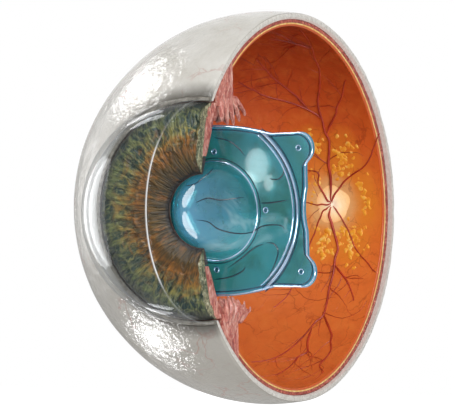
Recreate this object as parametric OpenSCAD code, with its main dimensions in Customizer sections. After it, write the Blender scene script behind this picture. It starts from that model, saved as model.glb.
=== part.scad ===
// Eye anatomy model, five times life size. The eyeball is cut by one upright plane that
// passes beside its axis, so that more than half of it stays. The globe's three coats,
// the ciliary body and the stub of optic nerve are one assembly. The clear cornea lifts
// off the front, the iris lifts out behind it, and the plate lens slides out sideways.
// The front of the eye faces -Y, the cut face +X, and the origin is on the nerve's end.

/* [Globe] */
// Outside radius of the eyeball
globe_r = 60; // [55:0.5:66]
// Distance from the globe's centre to the cut face
cut_x = 10.5; // [7:0.5:13]
// Bevel along the outer edge of the cut face
edge_bevel = 0.7; // [0.3:0.1:1.2]
// Angle by which the cornea and the iris look towards the cut face
front_turn = 6.5; // [4:0.5:8]

/* [Coats] */
// Thickness of the sclera at the side
sclera_side_t = 1.8; // [1.4:0.1:2.4]
// Thickness of the sclera at the back
sclera_back_t = 4.4; // [3:0.1:5.5]
// Thickness of the choroid at the side
choroid_side_t = 0.9; // [0.6:0.1:1.4]
// Thickness of the choroid at the back
choroid_back_t = 1.7; // [1:0.1:2.4]
// Thickness of the retina at the side
retina_side_t = 1.1; // [0.8:0.1:1.6]
// Thickness of the retina at the back
retina_back_t = 1.5; // [1:0.1:2.2]
// Distance from the iris's foot back to the front edge of the retina
ora_depth = 9.6; // [8:0.2:12]

/* [Optic nerve] */
// Sideways distance from the globe's axis to the nerve
nerve_x = 8; // [5:0.5:12]
// Radius of the nerve core
nerve_r = 5.5; // [4:0.1:6.5]
// Wall of the sheath round the nerve core
sheath_t = 3.95; // [2.5:0.05:5]
// How far the flared root of the sheath stands out beyond its tube
sheath_flare = 3.5; // [2:0.1:5]
// Length of the nerve from the back of the globe to the nerve's cut end
nerve_stub = 12; // [8:0.5:20]
// Length of the straight end of the sheath, which a holder grips
grip_len = 10; // [6:0.5:14]
// Radius of the optic disc
disc_r = 5.7; // [4.5:0.1:7]
// Radius of the artery and of the vein inside the nerve
central_vessel_r = 0.9; // [0.6:0.1:1.2]
// Distance between the artery and the vein inside the nerve
central_vessel_pitch = 3.2; // [2.8:0.1:4]

/* [Retinal vessels] */
// Radius of a vessel where it leaves the disc
vessel_r = 0.75; // [0.5:0.05:1]
// Radius of a vessel at its far end
vessel_tip_r = 0.38; // [0.25:0.05:0.5]
// Radius of the largest yellow deposit
deposit_r = 1.0; // [0.6:0.05:1.3]
// Number of places for deposits round the disc
deposit_count = 46; // [20:1:60]
// Width of the zone round the disc that holds deposits
deposit_zone = 13; // [8:0.5:18]

/* [Ciliary body] */
// Radius of the inner face of the ciliary body
ciliary_r = 33.4; // [32.8:0.1:34.5]
// Depth of the ledge that carries the iris, in from the bore of the sclera
iris_ledge = 1.3; // [0.9:0.1:1.6]
// Thickness of the band that carries the processes
band_t = 0.75; // [0.5:0.05:1]
// Thickness of one process
process_t = 1.6; // [1.2:0.1:2]
// How far the longest process reaches in from the band
process_reach = 4.6; // [3:0.1:5]
// Angle from one radial slot between processes to the next
process_step = 6; // [5:0.5:10]
// Width of a slot between processes
process_slot = 1.5; // [1:0.1:2]

/* [Cornea] */
// Outside radius of the cornea, a part of a sphere
cornea_r = 33.2; // [31:0.1:36]
// Thickness of the cornea
cornea_t = 1.5; // [1:0.1:2]
// Height of the cornea's centre above its base
cornea_rise = 1.4; // [0.4:0.05:2]
// Step from the edge of the cornea out to the sclera's edge
limbus_step = 0.56; // [0.3:0.02:0.9]
// Thickness of the dark ring under the cornea
ring_t = 0.8; // [0.5:0.1:1.2]
// Width of the seat that carries the dark ring
ring_seat = 1.0; // [0.7:0.05:1.3]

/* [Iris] */
// Radius of the pupil
pupil_r = 11; // [9:0.1:12.5]
// Depth from the front edge of the sclera back to the foot of the iris
iris_depth = 3.4; // [3:0.1:4]
// Width of the foot of the iris
iris_foot_w = 1.3; // [1:0.05:1.5]
// Height of the iris's crest above its foot
iris_crest = 12.3; // [11:0.1:13.5]
// Thickness of the front layer at its crest
stroma_t = 3.3; // [2.2:0.1:3.8]

/* [Plate lens] */
// Radius of the optic
optic_r = 14.2; // [13:0.1:15.5]
// Wall of the domed optic
optic_t = 1.5; // [1:0.1:2]
// Thickness of the plate
plate_t = 1.2; // [0.8:0.1:1.4]
// Half of the plate's width at its middle
plate_half_w = 25; // [24:0.1:26]
// Radius of the plate's long, gently curved sides
plate_side_r = 70; // [60:1:90]
// Radius of the thicker round middle of the plate
vault_r = 28; // [26:0.1:29]
// Step down from the thicker middle to the footplates
vault_step = 0.35; // [0.2:0.05:0.6]
// Distance from the optic's centre out to the corners of the open end
foot_x = 29; // [27:0.1:31]
// Radius of a footplate's round corner
foot_r = 4.6; // [3.5:0.1:5.5]
// Radius of the hollow in each end of the plate
end_hollow_r = 25; // [20:1:30]
// Depth of the hollow in each end of the plate
end_hollow = 0.8; // [0.4:0.1:1.5]
// Distance of a footplate's corner from the plate's long axis
foot_z = 17.8; // [16:0.1:19]
// Radius of the flow holes
hole_r = 0.7; // [0.4:0.05:1]
// Distance of the four inner flow holes from the optic's centre
hole_pitch_r = 17.2; // [16.5:0.1:18]

/* [Clearances] */
// Joint between pieces that are glued together
glue_gap = 0.05; // [0.02:0.01:0.1]
// Gap round the pieces that lift out
lift_gap = 0.3; // [0.2:0.05:0.4]
// Gap between the domed optic and the edge of the pupil
pupil_gap = 0.46; // [0.35:0.01:0.8]

/* [Hidden] */
$fn = 96;

// Heights are measured forward from the globe's centre. Those of the cornea, its ring, the
// iris and the fringe run along the front's own axis, which is turned towards the cut.
limbus_r = cornea_r + limbus_step;
limbus_a = sqrt(pow(globe_r, 2) - pow(limbus_r, 2));
bore_r = cornea_r - ring_seat;
cornea_base_a = limbus_a + ring_t + glue_gap;
cornea_a = cornea_base_a + cornea_rise;
nerve_end = globe_r + nerve_stub;

// Radii of each coat's inner face, and the depth of that face at the back.
sclera_in_r = globe_r - sclera_side_t;
sclera_in_back = sclera_back_t;
choroid_in_r = sclera_in_r - glue_gap - choroid_side_t;
choroid_in_back = sclera_in_back + glue_gap + choroid_back_t;
retina_in_r = choroid_in_r - glue_gap - retina_side_t;
retina_in_back = choroid_in_back + glue_gap + retina_back_t;

// The back half of each face is a sphere set forward, so that the wall thickens.
function back_reach(depth) = globe_r - depth;
function back_shift(r, depth) = (r * r - pow(back_reach(depth), 2)) / (2 * back_reach(depth));
retina_e = back_shift(retina_in_r, retina_in_back);
retina_back_r = back_reach(retina_in_back) + retina_e;

// Iris, from its rim round the globe's axis to the pupil round an axis in the cut face.
iris_foot_a = limbus_a - iris_depth;
ora_a = iris_foot_a - ora_depth;
iris_rim_r = bore_r - lift_gap;
foot_in_r = iris_rim_r - iris_foot_w;
iris_crest_a = iris_foot_a + iris_crest;
pupil_a = iris_crest_a - stroma_t;
function mix(p, q, t) = p + (q - p) * t;
// Sideways place of the cut face, and height from front to back, seen from the turned axis.
function cut_at(a) = (cut_x - a * sin(front_turn)) / cos(front_turn);
function level_at_cut(a) = (a - cut_x * sin(front_turn)) / cos(front_turn);
function iris_point(t, a) = [mix(iris_rim_r, pupil_r, t), cut_at(pupil_a) * t, a];
function at_depth(t, share) = iris_point(t, mix(pupil_a, iris_foot_a, share));

// Plate lens, centred on the pupil. Its axis isn't turned. The end inside the eye is shorter
// than the open end, so that it clears the iris's foot.
lens_a = level_at_cut(iris_foot_a) + 4 * lift_gap;
plate_top_a = lens_a + plate_t;
foot_reach = foot_in_r - lift_gap - foot_r;
inner_foot_x = cut_x - lens_a * tan(front_turn) + sqrt(foot_reach * foot_reach - foot_z * foot_z);
optic_edge_r = pupil_r - pupil_gap;
pupil_level = level_at_cut(pupil_a);
dome_a = ((pow(optic_edge_r, 2) + pow(pupil_level, 2)) - (pow(optic_r, 2) + pow(plate_top_a, 2)))
         / (2 * (pupil_level - plate_top_a));
dome_r = sqrt(pow(optic_r, 2) + pow(plate_top_a - dome_a, 2));

// Nerve.
sheath_r = nerve_r + glue_gap + sheath_t;
big = 2 * nerve_end;

// Places the eye so that the nerve's end is the origin.
module in_place() { translate([nerve_x, -nerve_end, 0]) children(); }

// Turns a profile of (radius, height) round the globe's axis.
module turned() { rotate([90, 0, 0]) rotate_extrude() children(); }

// Turns the front of the eye towards the cut face.
module at_front() { rotate([0, 0, front_turn]) children(); }

// Keeps what lies behind the cut face.
module cut_away() {
    intersection() {
        children();
        translate([cut_x - big, -big, -big]) cube([big, 2 * big, 2 * big]);
    }
}

// Half disc, for a profile.
module half_disc(r) {
    intersection() {
        circle(r);
        translate([0, -r]) square([r, 2 * r]);
    }
}

// Profile of all that lies inside a coat's face.
module inside(r, depth) {
    e = back_shift(r, depth);
    intersection() {
        circle(r);
        square(r);
    }
    intersection() {
        translate([0, e]) circle(back_reach(depth) + e);
        translate([0, -globe_r]) square([globe_r, globe_r + 0.001]);
    }
}

// A tube that the nerve passes through, of any radius.
module nerve_bore(r) {
    translate([-nerve_x, 0, 0]) rotate([-90, 0, 0]) cylinder(r = r, h = big);
}

// ---- coats ----

module sclera() {
    color([0.87, 0.86, 0.84]) in_place() difference() {
        cut_away() difference() {
            turned() difference() {
                half_disc(globe_r);
                inside(sclera_in_r, sclera_in_back);
            }
            at_front() turned() {
                translate([0, limbus_a]) square(globe_r);
                square([bore_r, globe_r]);
            }
        }
        nerve_bore(nerve_r + glue_gap);
        rim_bevel();
    }
}

// Conical cut that breaks the outer edge of the cut face.
module rim_bevel() {
    rim_r = sqrt(pow(globe_r, 2) - pow(cut_x, 2));
    rotate([0, 90, 0]) rotate_extrude() polygon([
        [rim_r - edge_bevel, cut_x + 0.01],
        [rim_r + edge_bevel, cut_x + 0.01],
        [rim_r + edge_bevel, cut_x - 2 * edge_bevel],
        [rim_r + 0.9 * edge_bevel, cut_x - 2 * edge_bevel]
    ]);
}

// A coat between two faces, which ends at the front edge of the retina.
module coat(outer_r, outer_depth, inner_r, inner_depth) {
    cut_away() turned() difference() {
        inside(outer_r, outer_depth);
        inside(inner_r, inner_depth);
        translate([0, ora_a]) square(globe_r);
    }
}

module choroid() {
    color([0.45, 0.08, 0.07]) in_place() difference() {
        coat(sclera_in_r - glue_gap, sclera_in_back + glue_gap, choroid_in_r, choroid_in_back);
        nerve_bore(nerve_r + glue_gap);
    }
}

module retina() {
    color([0.86, 0.40, 0.13]) in_place() difference() {
        coat(choroid_in_r - glue_gap, choroid_in_back + glue_gap, retina_in_r, retina_in_back);
        nerve_bore(disc_r + glue_gap);
    }
}

// ---- optic nerve ----

// The disc fills its hole in the retina and is flush with it.
module optic_disc() {
    color([0.95, 0.85, 0.62]) in_place() difference() {
        intersection() {
            nerve_bore(disc_r);
            turned() difference() {
                inside(choroid_in_r - glue_gap, choroid_in_back + glue_gap);
                inside(retina_in_r, retina_in_back);
            }
        }
        central_bores();
    }
}

// The artery and the vein run side by side along the nerve.
module central_rod(side, r) {
    translate([-nerve_x + side * central_vessel_pitch / 2, 0, 0])
        rotate([-90, 0, 0]) cylinder(r = r, h = nerve_end);
}

module central_bores() {
    for (side = [-1, 1]) central_rod(side, central_vessel_r + glue_gap);
}

module nerve_length() {
    translate([-big / 2, 0, -big / 2]) cube([big, nerve_end, big]);
}

module optic_nerve() {
    color([0.93, 0.84, 0.60]) in_place() difference() {
        intersection() {
            nerve_bore(nerve_r);
            nerve_length();
        }
        turned() inside(choroid_in_r, choroid_in_back);
        central_bores();
    }
}

module central_vessel(side) {
    in_place() difference() {
        central_rod(side, central_vessel_r);
        turned() inside(retina_in_r, retina_in_back);
    }
}

module central_artery() { color([0.72, 0.10, 0.08]) central_vessel(1); }
module central_vein() { color([0.20, 0.16, 0.42]) central_vessel(-1); }

// The sheath flares into the sclera and ends in a straight grip.
module nerve_sheath() {
    flare_end = nerve_end - grip_len;
    color([0.84, 0.80, 0.74]) in_place() difference() {
        translate([-nerve_x, 0, 0]) rotate([-90, 0, 0]) rotate_extrude() polygon([
            [nerve_r + glue_gap, globe_r / 2],
            [sheath_r + sheath_flare, globe_r / 2],
            [sheath_r + sheath_flare, flare_end - 2 * sheath_flare],
            [sheath_r + 0.3 * sheath_flare, flare_end - 0.8 * sheath_flare],
            [sheath_r, flare_end],
            [sheath_r, nerve_end],
            [nerve_r + glue_gap, nerve_end]
        ]);
        sphere(globe_r + glue_gap);
    }
}

// ---- retinal vessels ----

// A route is a list of [angle from the back pole, clock angle] on the retina. The clock
// angle is 0 towards the cut face and 90 upwards.
superior_routes = [
    [[10, 150], [13, 130], [19, 114], [24, 108], [30, 105], [41, 97], [51, 91], [61, 88], [77, 83]],
    [[61, 88], [65, 94], [70, 99]],
    [[30, 105], [35, 110], [46, 121], [51, 124], [58, 124]],
    [[35, 110], [43, 110], [53, 112], [62, 111]],
    [[25, 107], [30, 95], [35, 88], [45, 80]]
];
inferior_routes = [
    [[10, -160], [11, -140], [15, -116], [21, -108], [30, -103], [38, -100], [45, -101], [60, -105], [68, -111]],
    [[45, -101], [54, -97], [60, -98], [71, -99]],
    [[38, -100], [45, -91], [51, -87], [62, -86], [68, -82]],
    [[21, -108], [26, -92], [33, -83]]
];
nasal_routes = [
    [[8, 160], [8, 125], [12, 78], [20, 64], [27, 60]],
    [[7, -165], [7, -135], [10, -99], [15, -84], [21, -72], [25, -66]]
];
temporal_routes = [
    [[11, 165], [15, 150], [17, 142], [22, 146]],
    [[11, 180], [15, 177], [20, 174]],
    [[11, -168], [14, -160], [17, -149], [22, -138], [34, -125], [44, -124]]
];
vessel_sides = 6;
steps_per_leg = 3;

// A point that lies at a height above the retina, in globe coordinates.
function on_retina(polar, clock, lift) = [
    (retina_back_r - lift) * sin(polar) * cos(clock),
    (retina_back_r - lift) * cos(polar) - retina_e,
    (retina_back_r - lift) * sin(polar) * sin(clock)
];
function retina_centre() = [0, -retina_e, 0];
function unit(v) = v / norm(v);

// Smooth curve through a route's points, by the Catmull-Rom rule.
function blend_points(p, q, r, s, t) = 0.5 * (2 * q + (r - p) * t
    + (2 * p - 5 * q + 4 * r - s) * t * t + (3 * q - p - 3 * r + s) * t * t * t);
function wrap(clock, near) = clock - 360 * round((clock - near) / 360);
function smooth_route(route) = let (n = len(route) - 1) concat(
    [for (i = [0:n - 1], k = [0:steps_per_leg - 1]) let (t = k / steps_per_leg,
        near = route[i][1], g = function(j) [route[j][0], wrap(route[j][1], near)])
        blend_points(g(max(i - 1, 0)), g(i), g(i + 1), g(min(i + 2, n)), t)],
    [route[n]]);

// A vessel's radius shrinks evenly from the start of its route to the end.
function taper(i, n, start_r) = mix(start_r, vessel_tip_r, i / n);
function vessel_line(route, start_r) = let (path = smooth_route(route), n = len(path) - 1)
    [for (i = [0:n]) let (r = taper(i, n, start_r))
        [on_retina(path[i][0], path[i][1], r + glue_gap), r]];

// Clear distance from a point to the nearest of some vessels.
function clear_of(p, lines) = min([for (line = lines, i = [0:len(line) - 2])
    let (q = line[i][0], d = line[i + 1][0] - q, t = max(0, min(1, (p - q) * d / (d * d))))
    norm(p - q - t * d) - mix(line[i][1], line[i + 1][1], t)]);

// A branch starts where it comes clear of the vessels that are already laid.
function clear_start(route, r, lines) = len(lines) == 0 ? route : let (
    starts = [for (t = [0:0.02:1]) let (g = mix(route[0], route[1], t))
        if (clear_of(on_retina(g[0], g[1], r + glue_gap), lines) > r + glue_gap) g])
    concat([starts[0]], [for (i = [1:len(route) - 1]) route[i]]);

// The first route of a tree is the trunk. The rest branch from it and are thinner.
branch_share = 0.75;
function tree_lines(routes, trunk_r, lines = []) = let (i = len(lines))
    i == len(routes) ? lines : let (r = i == 0 ? trunk_r : branch_share * trunk_r)
    tree_lines(routes, trunk_r, concat(lines, [vessel_line(clear_start(routes[i], r, lines), r)]));
superior_lines = tree_lines(superior_routes, vessel_r);
inferior_lines = tree_lines(inferior_routes, vessel_r);
nasal_lines = tree_lines(nasal_routes, branch_share * vessel_r);
temporal_lines = tree_lines(temporal_routes, branch_share * vessel_r);
all_lines = concat(superior_lines, inferior_lines, nasal_lines, temporal_lines);

// Rings of a tube of changing radius along a line that lies on the retina.
module vessel_tube(line) {
    n = len(line) - 1;
    points = [for (i = [0:n]) let (
        here = line[i][0],
        along = unit(line[min(i + 1, n)][0] - line[max(i - 1, 0)][0]),
        out = unit(here - retina_centre()),
        aside = unit(cross(along, out)),
        up = cross(aside, along))
        for (k = [0:vessel_sides - 1]) let (turn = 360 * k / vessel_sides)
            here + line[i][1] * (cos(turn) * up + sin(turn) * aside)];
    sides = [for (i = [0:n - 1], k = [0:vessel_sides - 1]) let (
        p = i * vessel_sides + k,
        q = i * vessel_sides + (k + 1) % vessel_sides)
        each [[p, q, q + vessel_sides], [p, q + vessel_sides, p + vessel_sides]]];
    start_cap = [for (k = [1:vessel_sides - 2]) [0, k + 1, k]];
    end_cap = [for (k = [1:vessel_sides - 2]) let (b = n * vessel_sides) [b, b + k, b + k + 1]];
    polyhedron(points, concat(sides, start_cap, end_cap));
}

module vessel_tree(lines) {
    color([0.42, 0.05, 0.05]) in_place() for (line = lines) vessel_tube(line);
}

module superior_vessels() { vessel_tree(superior_lines); }
module inferior_vessels() { vessel_tree(inferior_lines); }
module nasal_vessels() { vessel_tree(nasal_lines); }
module temporal_vessels() { vessel_tree(temporal_lines); }

// ---- deposits ----

// Places wind outwards from the disc by the golden angle. One that comes too near a
// vessel is left out.
golden_angle = 137.5;
function deposit_place(i) = let (
    out = disc_r + 2 * deposit_r + deposit_zone * sqrt(i / deposit_count),
    r = deposit_r * (0.65 + 0.35 * abs(sin(i * golden_angle * 2))),
    x = -nerve_x + out * cos(i * golden_angle),
    z = out * sin(i * golden_angle),
    reach = retina_back_r - r - glue_gap)
    [[x, sqrt(reach * reach - x * x - z * z) - retina_e, z], r];

module lipid_deposits() {
    color([0.93, 0.66, 0.16]) in_place() for (i = [0:deposit_count - 1]) {
        place = deposit_place(i);
        if (clear_of(place[0], all_lines) > place[1] + glue_gap)
            translate(place[0]) sphere(place[1]);
    }
}

// ---- ciliary body ----

module ciliary_body() {
    front_a = iris_foot_a - glue_gap;
    ledge_r = bore_r - iris_ledge;
    rear_a = ora_a + glue_gap;
    color([0.72, 0.30, 0.27]) in_place() cut_away() difference() {
        turned() intersection() {
            circle(sclera_in_r - glue_gap);
            translate([0, rear_a]) square(globe_r);
        }
        at_front() turned() polygon([
            [0, 0],
            [ciliary_r, 0],
            [ciliary_r, front_a - 2 * iris_ledge],
            [ledge_r, front_a - iris_ledge],
            [ledge_r, front_a],
            [globe_r, front_a],
            [globe_r, 2 * globe_r],
            [0, 2 * globe_r]
        ]);
    }
}

// One process in profile: a slim stalk with a rounder tip.
module process_profile(root, tip) {
    along = unit(tip - root);
    aside = [-along[1], along[0]] * process_t * 0.38;
    translate(tip) circle(process_t / 2);
    polygon([root + aside, root - aside, tip - aside, tip + aside]);
}

// The band and its processes are one moulded fringe. Radial slots part the processes,
// apart from those beside the cut face, which stay whole.
module ciliary_processes() {
    band_r = ciliary_r - glue_gap;
    in_r = band_r - band_t;
    mid_a = ora_a + 4.5;
    root_r = band_r - band_t / 2;
    slot_span = 90;
    slot_count = floor(slot_span / process_step);
    color([0.80, 0.42, 0.38]) in_place() difference() {
        cut_away() at_front() turned() union() {
            translate([in_r, ora_a - 1.4]) square([band_t, 8]);
            process_profile([root_r, mid_a + 1.6], [in_r - process_reach, mid_a + 1.2]);
            process_profile([root_r, mid_a - 3], [in_r - process_reach + 0.3, mid_a - 5.2]);
            process_profile([root_r, mid_a - 5], [in_r - process_reach / 2, mid_a - 8.4]);
        }
        for (k = [-slot_count:slot_count]) at_front() rotate([0, k * process_step, 0])
            translate([-in_r + 0.1, -2 * ora_a, -process_slot / 2])
                cube([in_r / 2, 2 * ora_a, process_slot]);
    }
}

// ---- cornea and its ring ----

module limbus_ring() {
    color([0.16, 0.13, 0.12]) in_place() cut_away() at_front() turned()
        translate([bore_r, limbus_a + glue_gap / 2])
            square([cornea_r + 0.1 - bore_r, ring_t]);
}

module cornea() {
    color([0.80, 0.90, 0.95, 0.35]) in_place() cut_away() at_front() turned() difference() {
        translate([0, cornea_a]) half_disc(cornea_r);
        translate([0, cornea_a]) circle(cornea_r - cornea_t);
        square([globe_r, cornea_base_a]);
    }
}

// ---- iris ----

// Sweeps a closed profile whose points each have a radius, a sideways shift and a height,
// so that the outline runs from the rim's circle to the pupil's.
iris_steps = 60;
module eccentric_ring(profile) {
    n = len(profile);
    points = [for (k = [0:iris_steps - 1], p = profile) let (turn = 360 * k / iris_steps)
        [p[1] + p[0] * cos(turn), -p[2], p[0] * sin(turn)]];
    faces = [for (k = [0:iris_steps - 1], i = [0:n - 1]) let (
        k2 = (k + 1) % iris_steps,
        i2 = (i + 1) % n)
        each [[k * n + i, k * n + i2, k2 * n + i2], [k * n + i, k2 * n + i2, k2 * n + i]]];
    cut_away() at_front() polyhedron(points, faces);
}

// The layers' faces: height of the front above the crest plane, and the share of the way
// from the pupil's height down to the foot for the middle and the rear.
front_steps = [[0.04, -6.0], [0.1, -4.6], [0.2, -3.3], [0.3, -2.5], [0.5, -1.25], [0.7, -0.25],
               [0.8, 0], [0.9, -1.1], [0.96, -2.1]];
middle_steps = [[0.9, 0], [0.8, 0.02], [0.7, 0.05], [0.5, 0.15], [0.3, 0.25], [0.1, 0.38],
                [0, 0.66]];
rear_steps = [[0.07, 0.75], [0.2, 0.74], [0.3, 0.70], [0.5, 0.52], [0.7, 0.32], [0.76, 0.27]];
sphincter_from = 0.785;

module iris_stroma() {
    rim_top = limbus_a - 0.2;
    color([0.42, 0.42, 0.30]) in_place() eccentric_ring(concat(
        [iris_point(0, rim_top)],
        [for (s = front_steps) iris_point(s[0], iris_crest_a + s[1])],
        [iris_point(1, pupil_a + 0.6), iris_point(1, pupil_a + 0.15)],
        [for (s = middle_steps) at_depth(s[0], s[1])]));
}

module iris_muscle() {
    rear_middle = [for (i = [len(middle_steps) - 1:-1:2]) middle_steps[i]];
    color([0.74, 0.34, 0.32]) in_place() eccentric_ring(concat(
        [[iris_rim_r, 0, iris_foot_a]],
        [for (s = rear_middle) at_depth(s[0], s[1]) - [0, 0, 2 * glue_gap]],
        [for (i = [len(rear_steps) - 1:-1:0]) at_depth(rear_steps[i][0], rear_steps[i][1])],
        [[foot_in_r, 0, mix(pupil_a, iris_foot_a, 0.75)], [foot_in_r, 0, iris_foot_a]]));
}

// The narrow ring muscle at the pupil's edge, behind the front layer.
module pupil_sphincter() {
    color([0.84, 0.45, 0.40]) in_place() eccentric_ring([
        iris_point(1, pupil_a + 0.1),
        iris_point(1, pupil_a - 0.2),
        at_depth(0.9, 0.14),
        at_depth(sphincter_from, 0.24),
        at_depth(sphincter_from, 0.04),
        at_depth(0.9, 0.02)
    ]);
}

// ---- plate lens ----

// Outline of one half of the plate seen from the front: a long side on a wide arc, and an
// end with two round footplate corners and a hollow between them.
module plate_half(corner_x) {
    root_w = 2 * foot_r;
    waist_z = foot_z + foot_r - 0.1;
    end_x = corner_x + 0.45 * foot_r;
    difference() {
        union() {
            intersection() {
                translate([0, plate_half_w - plate_side_r]) circle(plate_side_r);
                translate([0, plate_side_r - plate_half_w]) circle(plate_side_r);
                translate([0, -plate_half_w]) square([end_x, 2 * plate_half_w]);
            }
            translate([corner_x - root_w, -waist_z]) square([root_w, 2 * waist_z]);
            for (sz = [-1, 1]) translate([corner_x, sz * foot_z]) circle(foot_r);
        }
        translate([end_x + end_hollow_r - end_hollow, 0]) circle(end_hollow_r);
    }
}

module plate_outline() {
    plate_half(foot_x);
    mirror([1, 0]) plate_half(inner_foot_x);
}

module phakic_lens() {
    color([0.45, 0.75, 0.88, 0.5]) in_place() translate([cut_x, 0, 0]) difference() {
        intersection() {
            turned() difference() {
                union() {
                    translate([0, lens_a]) square([vault_r, plate_t]);
                    translate([0, lens_a]) square([big, plate_t - vault_step]);
                    translate([0, dome_a]) half_disc(dome_r);
                    translate([0, lens_a]) square([optic_r + 1.1, plate_t + 0.3]);
                }
                translate([0, dome_a]) circle(dome_r - optic_t);
                translate([0, lens_a - big]) square(big);
            }
            rotate([90, 0, 0]) linear_extrude(big) plate_outline();
        }
        flow_holes();
    }
}

module flow_holes() {
    rotate([90, 0, 0]) {
        for (turn = [0:90:270]) rotate(turn) translate([hole_pitch_r, 0]) cylinder(r = hole_r, h = big);
        for (x = [0.5 - inner_foot_x, foot_x - 0.5], sz = [-1, 1]) translate([x, sz * foot_z])
            cylinder(r = hole_r, h = big);
    }
}

sclera();
choroid();
retina();
optic_disc();
optic_nerve();
nerve_sheath();
central_artery();
central_vein();
superior_vessels();
inferior_vessels();
nasal_vessels();
temporal_vessels();
lipid_deposits();
ciliary_body();
ciliary_processes();
limbus_ring();
iris_stroma();
iris_muscle();
pupil_sphincter();
cornea();
phakic_lens();
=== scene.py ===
import math

import bmesh
import bpy
import numpy as np
from mathutils import Matrix, Vector


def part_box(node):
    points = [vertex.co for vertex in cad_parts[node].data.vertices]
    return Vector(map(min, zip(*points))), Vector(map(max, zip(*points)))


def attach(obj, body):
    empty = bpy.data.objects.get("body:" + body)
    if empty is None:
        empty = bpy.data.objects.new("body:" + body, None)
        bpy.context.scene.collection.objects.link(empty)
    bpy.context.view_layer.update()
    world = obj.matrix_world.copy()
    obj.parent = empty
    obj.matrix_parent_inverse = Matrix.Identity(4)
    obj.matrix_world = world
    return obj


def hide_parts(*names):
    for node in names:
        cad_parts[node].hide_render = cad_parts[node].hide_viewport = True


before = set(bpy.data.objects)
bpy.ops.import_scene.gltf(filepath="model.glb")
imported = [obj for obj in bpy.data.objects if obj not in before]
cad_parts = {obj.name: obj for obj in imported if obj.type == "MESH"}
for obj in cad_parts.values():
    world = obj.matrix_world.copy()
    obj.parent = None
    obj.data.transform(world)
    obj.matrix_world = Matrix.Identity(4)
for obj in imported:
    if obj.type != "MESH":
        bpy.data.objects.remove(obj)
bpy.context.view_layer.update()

# The eye's own place, in millimetres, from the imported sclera: the globe's radius, its
# centre in the row, and the distance from that centre to the cut face.
lowCorner, highCorner = [[part * 1000 for part in corner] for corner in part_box("sclera")]
eyeRadius = (highCorner[2] - lowCorner[2]) / 2
eyeSide = lowCorner[0] + eyeRadius
eyeDepth = highCorner[1] - eyeRadius
cutSide = highCorner[0] - eyeSide
print("eye radius", round(eyeRadius, 2), "cut at", round(cutSide, 2))

# Depths and radii that the pieces share, in millimetres from the globe's centre. The
# cornea, its ring, the iris and the fringe look towards the cut by the turn.
eye = {
    "turn": math.radians(6.5), "limbusAhead": 49.6, "boreRadius": 32.2,
    "corneaBase": 50.45, "corneaCentre": 51.85, "corneaRadius": 33.2,
    "oraAhead": 36.6, "nerveSide": -8.0, "nerveEnd": 72.0,
    "retinaRadius": 56.1, "retinaDepth": 7.7,
}


# A point of the eye in the row = (eyeSide + side, eyeDepth - ahead, up), in metres.
def toRow(side, ahead, up):
    side, ahead, up = np.broadcast_arrays(side, ahead, up)
    return np.stack([eyeSide + side, eyeDepth - ahead, up], -1) / 1000


# A point on the front's own axes, turned into the globe's: side cos + ahead sin, and
# ahead cos - side sin.
def fromFront(grid):
    turn = eye["turn"]
    side, ahead, up = grid[..., 0], grid[..., 1], grid[..., 2]
    return np.stack([side * math.cos(turn) + ahead * math.sin(turn),
                     ahead * math.cos(turn) - side * math.sin(turn), up], -1)


# Every grid of a piece put into the row.
def gridsToRow(grids):
    return [toRow(grid[..., 0], grid[..., 1], grid[..., 2]) for grid in grids]


view = {"turn": 0.563, "tilt": 0.012, "roll": -0.022, "distance": 16.804,
        "right": 0.218, "lift": -0.013, "lens": 260.96}


def makeCamera():
    # towards = unit vector from the eye to the camera; across and upright span the image
    turn, tilt, roll = view["turn"], view["tilt"], view["roll"]
    towards = Vector((math.sin(turn) * math.cos(tilt), -math.cos(turn) * math.cos(tilt), math.sin(tilt)))
    level = Vector((math.cos(turn), math.sin(turn), 0))
    above = towards.cross(level)
    across = math.cos(roll) * level + math.sin(roll) * above
    upright = math.cos(roll) * above - math.sin(roll) * level
    centre = Vector((eyeSide, eyeDepth, 0)) / 1000
    reach = eyeRadius / 1000
    spot = centre + reach * (view["distance"] * towards - view["right"] * across - view["lift"] * upright)
    lens = bpy.data.cameras.new("camera")
    lens.lens, lens.sensor_width = view["lens"], 36
    lens.clip_start, lens.clip_end = 0.05, 30
    camera = bpy.data.objects.new("camera", lens)
    bpy.context.scene.collection.objects.link(camera)
    turned = Matrix((across, upright, towards)).transposed().to_4x4()
    camera.matrix_world = Matrix.Translation(spot) @ turned
    bpy.context.scene.camera = camera


makeCamera()
print("camera placed")


# A socket that takes part in sums: each operator adds one Math node.
class Flow:
    def __init__(self, finish, socket):
        self.finish, self.socket = finish, socket

    def __add__(self, other):
        return self.finish.math("ADD", self, other)

    def __sub__(self, other):
        return self.finish.math("SUBTRACT", self, other)

    def __rsub__(self, other):
        return self.finish.math("SUBTRACT", other, self)

    def __mul__(self, other):
        return self.finish.math("MULTIPLY", self, other)

    def __truediv__(self, other):
        return self.finish.math("DIVIDE", self, other)

    def __pow__(self, other):
        return self.finish.math("POWER", self, other)

    __radd__ = __add__
    __rmul__ = __mul__


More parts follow.
